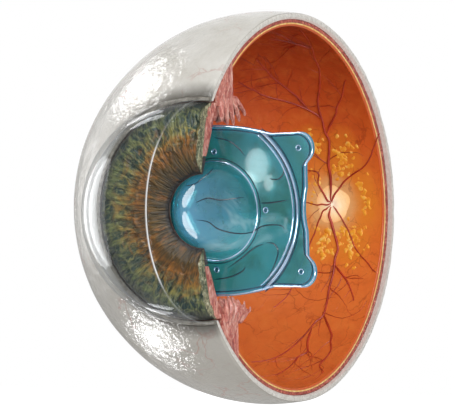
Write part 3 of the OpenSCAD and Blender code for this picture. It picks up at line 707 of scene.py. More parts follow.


# Zones from the rim to the pupil: a dark edge painted as shade where the iris meets the sclera, green-teal
# with olive fibres, an orange-brown collar, olive with dark fibres, and a thin dark pupil edge; painted glints
# on the cut face.
def irisFinish():
    f = Finish("irisFinish")
    lay = f.put("ShaderNodeUVMap", {"uv_map": "lay"})
    deep = f.put("ShaderNodeSeparateXYZ", None, {0: lay}, "Y")

    def along(around, across, detail=3.0, warp=0.0):
        return f.put("ShaderNodeTexNoise", None, {"Vector": f.scaled(lay, (around, across, 1.0)), "Scale": 1.0,
                     "Detail": detail, "Roughness": 0.6, "Distortion": warp})

    # the pattern's own coordinates: turns and depth, bent sideways by noise
    sway = f.put("ShaderNodeTexNoise", None,
                 {"Vector": f.scaled(lay, (26.0, 5.0, 1.0)), "Scale": 1.0, "Detail": 3.0}, 1)
    bent = f.put("ShaderNodeVectorMath", {"operation": "ADD"},
                 {0: lay, 1: f.scaled(sway, (0.034, 0.05, 0.0))})

    def net(around, across):
        return f.put("ShaderNodeTexVoronoi", {"feature": "DISTANCE_TO_EDGE"},
                     {"Vector": f.scaled(bent, (around, across, 1.0)), "Scale": 1.0}, "Distance")

    fibres = along(86.0, 3.4, 4.0, 0.7)
    strands = along(250.0, 4.0, 3.0, 0.3)
    patches = along(26.0, 5.0, 4.0, 1.0)
    coarse, fine = net(44.0, 3.6), net(96.0, 6.0)
    wander = deep + (along(34.0, 1.5) - 0.5) * 0.24
    base = f.ramp(wander, [(0.0, tint(16, 20, 14)), (0.07, tint(26, 38, 30)), (0.25, tint(28, 56, 54)),
                           (0.42, tint(36, 62, 48)), (0.52, tint(70, 58, 24)), (0.68, tint(82, 56, 18)),
                           (0.82, tint(66, 50, 18)), (0.95, tint(44, 34, 14)), (1.0, tint(16, 11, 8))])
    bright = f.ramp(wander, [(0.0, tint(54, 58, 36)), (0.2, tint(112, 122, 72)), (0.40, tint(152, 138, 68)),
                             (0.52, tint(168, 112, 34)), (0.66, tint(148, 90, 24)), (0.8, tint(116, 84, 30)),
                             (1.0, tint(84, 64, 28))])
    colour = f.mix(f.step(fibres, 0.42, 0.66) * 0.75, base, bright)
    colour = f.mix(f.step(coarse, 0.10, 0.34) * 0.7 * f.step(deep, 0.62, 0.4), colour, tint(18, 50, 50))
    colour = f.mix(f.step(coarse, 0.10, 0.0) * 0.65 * f.step(deep, 0.85, 0.6), colour, bright)
    colour = f.mix(f.step(fine, 0.10, 0.0) * 0.4 * f.step(deep, 0.7, 0.5), colour, tint(142, 142, 96))
    colour = f.mix(f.step(patches, 0.54, 0.68) * 0.45 * f.step(deep, 0.15, 0.4), colour, tint(158, 96, 28))
    colour = f.mix(f.step(strands, 0.54, 0.34) * 0.6, colour, tint(22, 24, 16))
    colour = f.mix(f.step(strands, 0.56, 0.76) * 0.25, colour, tint(164, 154, 96))
    # painted shade: dark at the rim where the iris meets the sclera
    colour = f.mix(f.step(deep, 0.15, 0.0) * 0.85, colour, tint(16, 18, 14))
    colour = f.mix(f.step(deep, 0.955, 0.985) * 0.94, colour, tint(12, 9, 8))
    cut = f.attribute("cut")
    # painted glints: white and black specks on the cut face
    glints = f.noise(0.9, 4, 0.8)
    section = f.ramp(glints, [(0.32, tint(24, 24, 18)), (0.48, tint(120, 116, 84)), (0.6, tint(196, 186, 150)),
                              (0.72, tint(246, 244, 232))])
    return f.done(f.shader({"Base Color": f.mix(cut, colour, section), "Roughness": 0.5 - cut * 0.2,
                            "Normal": f.bump(fibres + strands * 0.6 - f.step(coarse, 0.1, 0.3), 0.35),
                            "Coat Weight": 0.2, "Coat Roughness": 0.25}))


makeIris()


# The pink muscle layer behind the front layer, and the narrow ring muscle at the pupil: each
# a closed profile turned round the front's axis.
def makeIrisMuscles():
    use = irisSettings
    t = np.linspace(0, 0.76, 34)
    top = np.array([irisPoint(v, a) for v, a in zip(t, irisLayer(t, "middle") - 0.1)])
    under = np.array([irisPoint(v, a) for v, a in zip(t, irisLayer(t, "under"))])[::-1]
    profile = np.concatenate([top, under])

    def strands(grid, turn):
        waves = noiseAt(turn * 46, grid[..., 1] * 0.5, 0, 71)
        isUnder = (np.arange(len(grid)) >= len(top))[:, None]
        grid[..., 1] += 0.16 * waves * isUnder * smoothStep(turn, turn[:, :1], turn[:, :1] + 0.03)
        return grid

    grid, turn, caps = cutRing(profile, 260, strands, 8)
    for cap in caps:
        roughenCut(cap, 0.10, 0.8, 73)
    gridPiece("irisMuscle", "iris_unit", fleshFinish("irisMuscleFinish", 0.0),
              ringGrids(grid, caps), replaces=["iris_muscle"])
    pupil = use["pupilAhead"]
    loop = np.array([irisPoint(1, pupil + 0.12), irisPoint(1, pupil - 0.2), irisPoint(0.9, pupil - 1.1),
                     irisPoint(0.79, pupil - 1.9), irisPoint(0.785, pupil - 0.5), irisPoint(0.9, pupil - 0.1)])
    grid, turn, caps = cutRing(smoothLoop(loop, 5), 200, None, 5)
    gridPiece("pupilRing", "iris_unit",
              fleshFinish("pupilRingFinish", 0.93, (26, 17, 13)), ringGrids(grid, caps),
              replaces=["pupil_sphincter"])


# Wet pink-red flesh: long fibres, dark creases and pale flecks under a gloss. pale = how
# far it takes on the turned colour.
def fleshFinish(name, pale, turned=(226, 160, 146)):
    f = Finish(name)
    fibres = f.noise(1.0, 5, 0.7, 0.8, f.scaled(f.place, (1.0, 1.0, 0.35)))
    flecks = f.noise(0.7, 3, 0.7)
    colour = f.ramp(fibres, [(0.3, tint(126, 42, 36)), (0.43, tint(186, 86, 74)), (0.55, tint(224, 144, 126)),
                             (0.72, tint(250, 218, 204))])
    if pale:
        colour = f.mix(pale, colour, tint(*turned))
    colour = f.mix(f.step(flecks, 0.62, 0.74) * (1 - pale) * 0.6, colour, tint(250, 226, 214))
    return f.done(f.shader({"Base Color": colour, "Roughness": 0.22 + fibres * 0.3, "Coat Weight": 0.6,
                            "Coat Roughness": 0.12, "Normal": f.bump(fibres + flecks * 0.5, 0.5),
                            "Subsurface Weight": 0.1, "Subsurface Scale": 0.002}))


makeIrisMuscles()


ciliarySettings = {"columns": 300, "wall": 58.1, "foot": 46.12, "rearGap": 0.05,
                   # (radius, height) down the bore, on the front's axes
                   "bore": [(30.95, 46.12), (30.95, 45.0), (33.3, 43.6), (33.35, 41.0)],
                   "rearRing": (33.35, 38.6), "lump": 0.35, "lumpSize": 1.6,
                   # (radius, height) of the band behind the fingers, and of each finger's spine
                   "band": [(33.35, 43.2), (33.35, 35.2), (32.6, 35.0), (32.4, 39), (32.4, 43.0)],
                   "fingers": [[(33.3, 43.2), (30.4, 44.2), (27.3, 43.9)],
                               [(33.3, 41.3), (30.0, 41.9), (26.5, 41.0)],
                               [(33.3, 39.4), (30.1, 39.2), (26.6, 37.8)],
                               [(33.3, 37.6), (30.7, 36.4), (27.6, 34.6)],
                               [(33.3, 36.2), (31.6, 34.0), (29.3, 31.4)]],
                   "fingerColumns": 420, "fingerBulge": 0.75, "root": 32.6, "reach": 4.6, "folds": 60,
                   "fold": 0.45}


# The wedge: for each turn round the front's axis, its section runs from the ledge down the
# bore to the level rear plane, out to the sclera's inner sphere and back up it.
def makeCiliaryWedge():
    use = ciliarySettings
    count, wall, foot, rear = use["columns"], use["wall"], use["foot"], eye["oraAhead"] + use["rearGap"]
    turn, sine, cosine = np.linspace(0, 1, count)[None, :], math.sin(eye["turn"]), math.cos(eye["turn"])

    # level = height on the front's axis; with ahead given, the height that meets that plane;
    # onWall: the radius is the one at which that height meets the sphere
    def ring(radius, level, ahead=None, onWall=False):
        radius = np.full((1, count), radius)
        level = np.full((1, count), level)
        for _ in range(12):
            cutHere = (cutSide - level * sine) / cosine
            first = np.arccos(np.clip(cutHere / radius, -1, 1))
            around = first + (2 * np.pi - 2 * first) * turn
            if ahead is not None:
                level = (ahead + radius * np.cos(around) * sine) / cosine
                if onWall:
                    radius = np.sqrt(wall ** 2 - level ** 2)
        return np.stack([radius * np.cos(around), level, radius * np.sin(around)], -1)

    rows = [ring(*point) for point in use["bore"]] + [ring(*use["rearRing"], rear)]
    outer = ring(45.0, 36.6, rear, True)
    top = ring(math.sqrt(wall ** 2 - foot ** 2), foot)
    share = np.linspace(0, 1, 9)[1:-1, None, None]
    middle = rows[-1] * (1 - share) + outer * share
    climb = outer * (1 - share) + top * share
    climb = climb / np.linalg.norm(climb, axis=-1, keepdims=True) * wall
    across = top * (1 - share[::2]) + rows[0] * share[::2]
    grid = fromFront(np.concatenate(rows + [middle, outer, climb, top, across, rows[0]]))
    caps = []
    for end in (grid[:, 0], grid[:, -1]):
        part = np.linspace(0, 1, 16)[:, None, None]
        cap = end * (1 - part) + end[:-1].mean(0) * part
        lumps = use["lump"] * layeredNoise(cap * [1, 0.55, 1], use["lumpSize"], 3, 81)
        cap[..., 0] += lumps * np.sin(part[..., 0] * np.pi / 2)
        caps.append(cap)
    gridPiece("ciliaryWedge", "globe", fleshFinish("ciliaryFinish", 0.0),
              ringGrids(grid, caps), replaces=["ciliary_body"])


# The fringe: a band and five fingers, each a closed profile turned round the front's axis.
# Pleats pull the fingers' tips outwards by (1 - cosine) of the turn.
def makeCiliaryFringe():
    use = ciliarySettings

    def pleated(grid, turn):
        radial = np.sqrt(grid[..., 0] ** 2 + grid[..., 2] ** 2)
        reach = np.clip((use["root"] - radial) / use["reach"], 0, 1)
        wave = 0.5 + 0.5 * np.cos((turn - turn[:, :1]) * use["folds"])
        pull = reach * use["reach"] * use["fold"] * (1 - wave) + reach * 0.3 * latticeNoise(grid, 1.5, 83)
        atCut = smoothStep(cutSide - grid[..., 0], 0.0, 0.6)
        scale = (radial + pull * atCut) / radial
        grid[..., 0] *= scale
        grid[..., 2] *= scale
        return grid

    band, _, caps = cutRing(smoothLoop([(*point, 0) for point in use["band"]], 6), use["columns"], None, 4)
    grids = ringGrids(band, caps)
    for spine in use["fingers"]:
        grid, _, caps = cutRing(fingerLoop(np.array(spine)), use["fingerColumns"], pleated, 9,
                                use["fingerBulge"])
        grids += ringGrids(grid, caps)
    gridPiece("ciliaryFringe", "globe", fleshFinish("fringeFinish", 0.2), grids,
              replaces=["ciliary_processes"])


# Outline of a finger = a quadratic curve through three points with a half width that
# narrows from 0.95 at the root to 0.5 and swells again before the round tip.
def fingerLoop(spine, count=9):
    s = np.linspace(0, 1, count)[:, None]
    handle = 2 * spine[1] - (spine[0] + spine[2]) / 2
    line = (1 - s) ** 2 * spine[0] + 2 * s * (1 - s) * handle + s ** 2 * spine[2]
    along = np.gradient(line, axis=0)
    along /= np.linalg.norm(along, axis=1, keepdims=True)
    aside = np.stack([-along[:, 1], along[:, 0]], -1)
    width = 0.95 - 0.48 * np.sin(s * np.pi * 0.72) ** 2 + 0.06 * s
    bend = np.linspace(np.pi / 2, -np.pi / 2, 9)[1:-1, None]
    tip = line[-1] + width[-1] * (np.sin(bend) * aside[-1] + np.cos(bend) * along[-1])
    loop = np.concatenate([line + aside * width, tip, (line - aside * width)[::-1]])
    return np.concatenate([loop, np.zeros((len(loop), 1))], 1)


makeCiliaryWedge()
makeCiliaryFringe()


corneaSettings = {"wall": 1.5, "pages": 70, "columns": 240, "outerRound": 0.45, "innerRound": 0.35,
                  "glint": 0.14, "glintFrom": 24, "glintTo": 15}


# Two spheres with one centre, cut by the face and by the base plane, joined by the wall's
# edges; both drop in a round at the cut.
def makeCornea():
    use = corneaSettings
    radius, wall, columns = eye["corneaRadius"], use["wall"], use["columns"]
    pages = pageAngles(use["pages"])
    base = eye["corneaBase"] - eye["corneaCentre"]
    turn = eye["turn"]
    middle = np.array([eye["corneaCentre"] * math.sin(turn), eye["corneaCentre"] * math.cos(turn), 0])
    cut = cutSide - middle[0]
    corner, angles = (cut, (base - cut * math.sin(turn)) / math.cos(turn)), (turn, math.pi / 2)

    def outerAt(side, ahead, up):
        return radius - roundedDrop(cut - side, use["outerRound"]) + 0 * up

    def innerAt(side, ahead, up):
        return radius - wall + roundedDrop(cut - side, use["innerRound"]) + 0 * up

    outer = bookSurface(corner, angles, radius, outerAt, pages, columns)
    inner = bookSurface(corner, angles, radius, innerAt, pages, columns)
    share = np.linspace(0, 1, 5)[1:-1, None, None]
    grid = np.concatenate([outer, outer[-1] * (1 - share) + inner[-1] * share, inner[::-1],
                           inner[0] * (1 - share) + outer[0] * share, outer[:1]])
    # painted highlight on the outer edge of the cut wall, strongest half way up
    fromEdge = radius - 0.25 - np.linalg.norm(grid, axis=-1)
    edge = smoothStep(cut - grid[..., 0], 0.5, 0.0) * smoothStep(np.abs(fromEdge), 0.34, 0.05)
    glintMiddleShare = smoothStep(np.abs(grid[..., 2]), use["glintFrom"], use["glintTo"])
    edge = edge * (use["glint"] + (1 - use["glint"]) * glintMiddleShare)
    gridPiece("corneaDome", "cornea_cap", clearFinish(),
              gridsToRow([grid + middle]), fields={"cut": [edge]}, replaces=["cornea"])


# Clear dome: see-through with a hard gloss that grows at a glancing angle, and frosted
# where it is cut; the frost carries a painted highlight that glows.
def clearFinish():
    f = Finish("corneaFinish")
    gloss = f.shader({"Base Color": tint(250, 252, 255), "Roughness": 0.02, "Metallic": 1.0})
    clear = f.put("ShaderNodeBsdfTransparent", None, {"Color": (0.965, 0.975, 0.98, 1)})
    share = 0.012 + f.put("ShaderNodeLayerWeight", None, {"Blend": 0.5}, "Facing") ** 7 * 0.85
    dome = f.put("ShaderNodeMixShader", None, {0: share, 1: clear, 2: gloss})
    # frosted cut edge with a painted highlight: it glows and is brightest half way up
    frostAndPaintedGlint = f.shader({"Base Color": tint(244, 246, 246), "Roughness": 0.25, "Coat Weight": 1.0,
                      "Emission Color": (1, 1, 1, 1), "Emission Strength": 0.5})
    return f.done(f.put("ShaderNodeMixShader", None, {0: f.attribute("cut") * 0.9, 1: dome, 2: frostAndPaintedGlint}))


# Four corners of the ring's section: (radius, height, shift)
limbusSettings = {"columns": 240, "corners": [(32.25, 49.63, 0), (33.3, 49.63, 0), (33.3, 50.42, 0),
                                              (32.25, 50.42, 0)]}


# The section's smoothed outline, turned round the front's axis.
def makeLimbusRing():
    grid, _, caps = cutRing(smoothLoop(limbusSettings["corners"], 6), limbusSettings["columns"], None, 4)
    material = twoToneFinish("limbusFinish", 1.5, (96, 90, 80), (150, 144, 132), 0.35, 0.3, 0.15)
    gridPiece("limbusBand", "globe", material, ringGrids(grid, caps), replaces=["limbus_ring"])


makeCornea()
makeLimbusRing()


lensSettings = {"optic": 14.2, "halfWidth": 25.0, "sideRound": 70.0, "footSide": 29.0, "innerSide": 23.74,
                "footUp": 17.8, "footRound": 4.6, "hollow": 25.0, "hollowDepth": 0.8,
                "vault": 28.0, "step": 0.35, "back": 46.5, "wall": 1.2, "domeAhead": 44.24,
                "domeRadius": 14.62, "domeWall": 1.5, "rim": 0.55, "holeAt": 17.2, "columns": 480,
                # painted images of the vessels seen through the plate, drawn as fine dark lines inside it:
                # (across, up) along each
                "lines": [[[-0.2, 21.4], [4.7, 20.4], [7.9, 18.5], [10.6, 15.7]],
                          [[18.5, 9.1], [21.3, 8.8], [23.3, 10.3], [23.6, 13.0]],
                          [[0.1, 2.5], [3.8, 3.8], [7.5, 3.2], [12.3, 3.9]],
                          [[15.5, 2.1], [18.7, 2.1], [24.7, 2.8]],
                          [[-0.8, -2.3], [3.7, -2.9], [6.5, -5.2], [11.3, -6.6], [16.1, -4.6], [21.7, -4.4],
                           [24.1, -6.0]],
                          [[16.8, -9.5], [19.6, -9.7], [21.0, -11.8], [19.9, -15.5], [17.0, -20.3]],
                          [[-1.2, -20.1], [4.5, -19.3], [8.6, -17.7], [9.8, -16.2]],
                          [[3.7, -16.8], [8.7, -13.8], [12.8, -11.0], [16.4, -9.7]],
                          [[2.0, 12.7], [1.6, 10.7], [-1.3, 8.0], [-5.5, 7.4]]]}


# Distance outside the plate's outline at (across, up), below 0 inside: the long sides are
# wide arcs, each corner is a round lobe, and each end is hollowed by a large circle.
def plateOutside(across, up):
    use = lensSettings
    corner = np.where(across > 0, use["footSide"], use["innerSide"])
    endAt = corner + 0.45 * use["footRound"]
    sides = np.hypot(across, np.abs(up) + use["sideRound"] - use["halfWidth"]) - use["sideRound"]
    plate = np.maximum(sides, np.abs(across) - endAt)
    lobes = np.hypot(np.abs(across) - corner, np.abs(up) - use["footUp"]) - use["footRound"]
    root = np.maximum(np.abs(np.abs(across) - corner + use["footRound"]) - use["footRound"],
                      np.abs(up) - use["footUp"] - use["footRound"] + 0.1)
    joined = np.minimum(np.minimum(plate, lobes), root)
    hollow = use["hollow"] - np.hypot(np.abs(across) - endAt - use["hollow"] + use["hollowDepth"], up)
    return np.maximum(joined, hollow)


# Outline radius for each turn, found by halving the interval between 20 and 45.
def plateReach(turn):
    near, far = np.full_like(turn, 15.0), np.full_like(turn, 45.0)
    for _ in range(30):
        middle = (near + far) / 2
        outside = plateOutside(middle * np.cos(turn), middle * np.sin(turn)) > 0
        near, far = np.where(outside, near, middle), np.where(outside, middle, far)
    return near


# Height of the lens's front face at a radius: the dome inside the optic's edge, a round
# bead on that edge, the plate, and a step down beyond the vault.
def lensTop(radius):
    use = lensSettings
    plate = use["back"] + use["wall"] - use["step"] * smoothStep(radius, use["vault"] - 0.3, use["vault"] + 0.5)
    dome = use["domeAhead"] + np.sqrt(np.clip(use["domeRadius"] ** 2 - radius ** 2, 0, None))
    bead = 0.3 * np.sqrt(np.clip(1 - ((radius - use["optic"] - 0.35) / 0.75) ** 2, 0, 1))
    return np.maximum(plate + bead, dome)


# Height of the rear face at a radius: the plate's back, or the dome's inner sphere.
def lensBottom(radius):
    use = lensSettings
    inner = use["domeRadius"] - use["domeWall"]
    hollow = use["domeAhead"] + np.sqrt(np.clip(inner ** 2 - radius ** 2, 0, None))
    return np.maximum(use["back"], np.where(radius < inner, hollow, 0))


# Polar grid from the middle to the outline: the front and rear heights, rounded at the rim.
def makeLens():
    use = lensSettings
    turn = np.linspace(0, 2 * np.pi, use["columns"] + 1)[None, :]
    reach = plateReach(turn)
    fixed = np.concatenate([np.linspace(0, 13.4, 26), np.linspace(13.7, 15.6, 14), np.linspace(16, 27.4, 16),
                            np.linspace(27.6, 28.6, 7), np.linspace(29.2, 33, 8)])[:, None]
    body = np.minimum(fixed, reach - 0.9)
    edge = reach - np.array([0.75, 0.6, 0.48, 0.36, 0.25, 0.16, 0.09, 0.04, 0.01, 0.0])[:, None]
    radius = np.concatenate([body, edge])
    inset = reach - radius
    top = lensTop(radius) - roundedDrop(inset, use["rim"])
    bottom = lensBottom(radius) + roundedDrop(inset, use["rim"])
    middle = (top + bottom) / 2
    top, bottom = np.maximum(top, middle), np.minimum(bottom, middle)
    across, up = radius * np.cos(turn), radius * np.sin(turn)
    face = toRow(cutSide + across, top, up)
    rear = toRow(cutSide + across, bottom, up)
    # painted rim light: a field that grows towards the outline
    rimward = smoothStep(inset, 2.4, 0.9)
    gridPiece("plateLens", "lens_plate", lensFinish(), [np.concatenate([face, rear[::-1]])],
              fields={"rimward": [np.concatenate([rimward, rimward[::-1]])]}, replaces=["phakic_lens"],
              crease=75)


# Teal and half clear: a blue-green filter under a cloudy veil that is bluer on the optic and, as painted rim
# light, bluer and paler at the rim; darker on the plate and stronger at a glancing angle. The veil glows
# faintly as painted light, and its pale milky patches towards the cut side are partly painted sheen.
def lensFinish():
    f = Finish("lensFinish")
    across = f.axis("X") * 1000 - (eyeSide + cutSide)
    up = f.axis("Z") * 1000
    out = (across * across + up * up) ** 0.5
    cloud = f.noise(12, 4, 0.55, 0.8)
    colour = f.ramp(out / 36 + (cloud - 0.5) * 0.1,
                    [(0.0, tint(112, 166, 202)), (0.24, tint(84, 158, 194)), (0.40, tint(60, 168, 186)),
                     (0.75, tint(56, 164, 188)), (0.92, tint(74, 150, 160))])
    colour = f.mix(f.step(cloud, 0.52, 0.3) * 0.75, colour, tint(22, 92, 108))
    # pale milky patches towards the cut side, partly painted sheen
    milkAndSheen = f.step(f.noise(15, 3, 0.5, 1.2), 0.56, 0.7) * f.step(across - up * 0.4, -2, 10)
    colour = f.mix(milkAndSheen * 0.6, colour, tint(186, 222, 232))
    # painted rim light: bluer and paler towards the outline
    rimward = f.attribute("rimward")
    colour = f.mix(rimward * 0.7, colour, tint(84, 168, 204))
    # painted glow: the veil gives off a faint light of its own
    veil = f.shader({"Base Color": colour, "Roughness": 0.06, "Coat Weight": 1.0, "Coat Roughness": 0.02,
                     "Coat IOR": 1.9, "Specular IOR Level": 0.8, "Emission Color": colour,
                     "Emission Strength": 0.2})
    clear = f.put("ShaderNodeBsdfTransparent", None, {"Color": (0.22, 0.86, 0.92, 1)})
    edge = f.put("ShaderNodeLayerWeight", None, {"Blend": 0.3}, "Facing")
    share = 0.30 + cloud * 0.16 + f.step(out, 14.5, 9.0) * 0.14 + milkAndSheen * 0.12 + rimward * 0.18 + edge ** 2 * 0.4
    return f.done(f.put("ShaderNodeMixShader", None, {0: share, 1: clear, 2: veil}))


# A round rib along a path: rings of the given radius spanned by the forward direction and
# the path's own sideways direction. A closed path joins its ends; an open one swells
# by the flare before it closes to a point.
def rib(path, radius, sides=8, closed=False, flare=0.0):
    along = np.gradient(path, axis=0)
    if closed:
        along[0] = along[-1] = path[1] - path[-2]
    along /= np.linalg.norm(along, axis=1, keepdims=True)
    forward = np.array([0, 1.0, 0])
    aside = np.cross(along, forward)
    aside /= np.linalg.norm(aside, axis=1, keepdims=True)
    turn = np.linspace(0, 2 * np.pi, sides + 1)[None, :, None]
    share = np.linspace(-1, 1, len(path))[:, None, None]
    size = radius if closed else radius * np.cos(share * np.pi / 2) ** 0.35 * (1 + flare * share ** 2)
    return path[:, None] + size * (np.cos(turn) * forward + np.sin(turn) * aside[:, None])


# (radius or inset, height over the plate, thickness) of the ribs; pale ones catch the light,
# dark ones lie beside them as painted shade.
ribSettings = {"opticPale": (0.35, 0.28, 0.30), "opticDark": (1.15, 0.02, 0.2),
               "edgePale": (0.42, -0.15, 0.26), "edgeDark": (1.35, -0.10, 0.24),
               "vaultPale": [(27.9, -0.05, 0.36), (26.4, 0.0, 0.24)],
               "vaultDark": [(27.2, -0.02, 0.26), (28.6, -0.3, 0.2)], "vaultSpan": 0.98, "flare": 1.8,
               "holeRadius": 0.78, "holeRib": 0.2, "lineSink": 0.12, "line": 0.26}


# Ribs = tubes round the optic, along the vault's edge, round the outline and round each
# flow hole, and thin dark lines in the plate's surface that paint the vessels seen through it.
def makeLensRibs():
    use, ribUse = lensSettings, ribSettings
    turn = np.linspace(0, 2 * np.pi, 361)
    reach = plateReach(turn)
    plate = use["back"] + use["wall"]

    def around(radius, height, angles):
        return np.stack([cutSide + radius * np.cos(angles), height + 0 * angles, radius * np.sin(angles)], -1)

    def ribsOf(kind, sides):
        ribs = []
        for place, base, sign in (("optic", use["optic"], 1), ("edge", reach, -1)):
            offset, height, size = ribUse[place + kind]
            ribs.append(rib(around(base + sign * offset, plate + height, turn), size, sides, True))
        span = np.linspace(-ribUse["vaultSpan"], ribUse["vaultSpan"], 121)
        for radius, height, size in ribUse["vault" + kind]:
            ribs.append(rib(around(radius, plate + height, span), size, flare=ribUse["flare"]))
        return ribs

    pale, dark = ribsOf("Pale", 8), ribsOf("Dark", 6)
    holes = [(use["holeAt"] * math.cos(a), use["holeAt"] * math.sin(a))
             for a in (0, math.pi / 2, math.pi, 1.5 * math.pi)]
    holes += [(side, up) for side in (use["footSide"] - 0.5, 0.5 - use["innerSide"])
              for up in (-use["footUp"], use["footUp"])]
    beads = []
    for side, up in holes:
        level = plate - (use["step"] if abs(side) > 20 else 0)
        few = turn[::15]
        ring = np.stack([cutSide + side + ribUse["holeRadius"] * np.cos(few), level + 0.08 + 0 * few,
                         up + ribUse["holeRadius"] * np.sin(few)], -1)
        pale.append(rib(ring, ribUse["holeRib"], 6, True))
        core = np.stack([ring, np.broadcast_to(ring.mean(0), ring.shape)])
        core[..., 1] -= 0.04
        beads.append(core)
    lines = []
    # painted images of the vessels seen through the plate, as dark tubes
    for route in use["lines"]:
        route = smoothRoute([[a, b] for a, b in route], 10, False)
        lineLevel = np.maximum(plate, lensTop(np.hypot(route[:, 0], route[:, 1]))) - ribUse["lineSink"]
        path = np.stack([cutSide + route[:, 0], 0 * route[:, 0] + lineLevel, route[:, 1]], -1)
        lines.append(rib(path, ribUse["line"], 6))
    for name, grids, finish in (("lensVesselImages", lines, ("vesselImageFinish", (10, 44, 62), 0.9, 0.0)),
                                ("lensRims", pale, ("rimFinish", (222, 232, 255), 0.62, 0.9)),
                                ("lensShade", dark, ("rimShadeFinish", (14, 44, 84), 0.62, 0.0)),
                                ("lensHoles", beads, ("holeFinish", (20, 74, 104), 0.7, 0.0))):
        gridPiece(name, "lens_plate", rimFinish(*finish), gridsToRow(grids),
                  replaces=["phakic_lens"])


# Polished rim: part clear, part coloured, with a hard gloss; silvered = how far it mirrors.
def rimFinish(name, shade, solid, silvered):
    f = Finish(name)
    cloud = f.noise(9, 3, 0.6)
    body = f.shader({"Base Color": tint(*shade), "Roughness": 0.12, "Metallic": silvered, "Coat Weight": 1.0,
                     "Coat Roughness": 0.03})
    clear = f.put("ShaderNodeBsdfTransparent", None, {"Color": (0.8, 0.95, 0.98, 1)})
    return f.done(f.put("ShaderNodeMixShader", None, {0: solid * 0.5 + cloud * solid, 1: clear, 2: body}))


makeLens()
makeLensRibs()


vesselSettings = {"trunk": 0.54, "tip": 0.18, "branch": 0.72, "sides": 8}
# each route's points: (angle from the back pole, clock angle), in degrees
vesselRoutes = {
    "superior": [[[8.6, 174], [10, 150], [13, 130], [19, 114], [24, 108], [30, 105], [41, 97], [51, 91],
                  [61, 88], [77, 83]],
                 [[61, 88], [65, 94], [70, 99]],
                 [[30, 105], [35, 110], [46, 121], [51, 124], [58, 124]],
                 [[35, 110], [43, 110], [53, 112], [62, 111]],
                 [[25, 107], [30, 95], [35, 88], [45, 80]]],
    "inferior": [[[8.7, -174], [10, -160], [11, -140], [15, -116], [21, -108], [30, -103], [38, -100],
                  [45, -101], [60, -105], [68, -111]],
                 [[45, -101], [54, -97], [60, -98], [71, -99]],
                 [[38, -100], [45, -91], [51, -87], [62, -86], [68, -82]],
                 [[21, -108], [26, -92], [33, -83]]],
    "nasal": [[[8.4, 176], [8, 160], [8, 125], [12, 78], [20, 64], [27, 60]],
              [[8.0, -176], [7, -165], [7, -135], [10, -99], [15, -84], [21, -72], [25, -66]]],
    "temporal": [[[8.8, 178], [11, 165], [15, 150], [17, 142], [22, 146]],
                 [[8.8, 180], [11, 180], [15, 177], [20, 174]],
                 [[8.8, -178], [11, -168], [14, -160], [17, -149], [22, -138], [34, -125], [44, -124]]],
}


# Point of the retina at an angle from its back pole and a clock angle (0 towards the cut,
# 90 up), raised by lift: direction times the coat's radius less the lift.
def onRetina(polar, clock, lift):
    reach, shift = rearSphere(eye["retinaRadius"], eye["retinaDepth"])
    polar, clock = np.radians(polar), np.radians(clock)
    around = reach + shift
    side = around * np.sin(polar) * np.cos(clock)
    ahead = shift - around * np.cos(polar)
    up = around * np.sin(polar) * np.sin(clock)
    far = np.sqrt(side ** 2 + ahead ** 2 + up ** 2)
    scale = (retinaAt(side, ahead, up) - lift) / far
    return np.stack([side * scale, ahead * scale, up * scale], -1)


# Tube = ring of radius r round each point of a line, spanned by the line's outward and
# sideways directions; both ends close to a point.
def tube(line, radius, sides):
    along = np.gradient(line, axis=0)
    along /= np.linalg.norm(along, axis=1, keepdims=True)
    out = line / np.linalg.norm(line, axis=1, keepdims=True)
    aside = np.cross(along, out)
    aside /= np.linalg.norm(aside, axis=1, keepdims=True)
    rise = np.cross(aside, along)
    radius = np.concatenate([[0], radius, [0]])[:, None, None]
    line, rise, aside = [np.concatenate([v[:1], v, v[-1:]])[:, None] for v in (line, rise, aside)]
    turn = np.linspace(0, 2 * np.pi, sides + 1)[None, :, None]
    return line + radius * (np.cos(turn) * rise + np.sin(turn) * aside)


discSettings = {"radius": 6.1, "mound": 0.75, "cup": 0.5, "cupSize": 0.18, "sunk": 0.1, "rough": 0.05}


# Height of the disc at a share of its radius: a round mound with a cup in the middle.
def discRise(share):
    use, share = discSettings, np.clip(share, 0, 1)
    return use["mound"] * np.cos(share * np.pi / 2) ** 0.8 - use["cup"] * np.exp(-(share / use["cupSize"]) ** 2)


# A line on the retina that climbs over the disc.
def overDisc(line):
    out = np.hypot(line[:, 0] - eye["nerveSide"], line[:, 2]) / discSettings["radius"]
    line[:, 1] += np.where(out < 1, discRise(out), 0)
    return line


# A path on the retina for a vessel, with a small seeded waver; its radius falls evenly to
# the tip's and starts thin where it leaves the disc.
def vesselPath(route, start, seed):
    path = smoothRoute(route)
    count = len(path)
    s = np.linspace(0, 1, count)
    waver = noiseAt(s * count / 5, 0, seed, seed) * np.sin(s * np.pi) ** 0.5
    path[:, 1] += waver * 1.6 / np.maximum(np.sin(np.radians(path[:, 0])), 0.15) * 0.6
    radius = (start + (vesselSettings["tip"] - start) * s) * (0.4 + 0.6 * smoothStep(s, 0, 0.16))
    return path, radius


# Twigs leave a vessel sideways and wander on, thinner and thinner: the heading is the sum of
# small normal turns, and each step adds its cosine and sine to the two angles.
def twigPaths(path, radius, rng, count):
    found = []
    for _ in range(count):
        at = rng.integers(len(path) // 4 + 1, len(path) - 1)
        heading = math.atan2(*(path[at] - path[at - 1])[::-1] * [math.sin(math.radians(path[at, 0])), 1])
        turnBy = rng.choice([-1, 1]) * rng.uniform(0.5, 1.1)
        length = rng.uniform(6, 19)
        steps = 12
        lean = heading + turnBy + np.cumsum(rng.normal(0, 0.16, steps))
        polar = path[at, 0] + np.concatenate([[0], np.cumsum(np.cos(lean)) * length / steps])
        clock = path[at, 1] + np.concatenate([[0], np.cumsum(np.sin(lean)) * length / steps
                                             / max(math.sin(math.radians(path[at, 0])), 0.2)])
        thick = min(radius[at] * 0.45, 0.16) * np.linspace(1, 0.35, steps + 1)
        found.append((np.stack([np.clip(polar, 6, 84), clock], -1), thick))
    return found


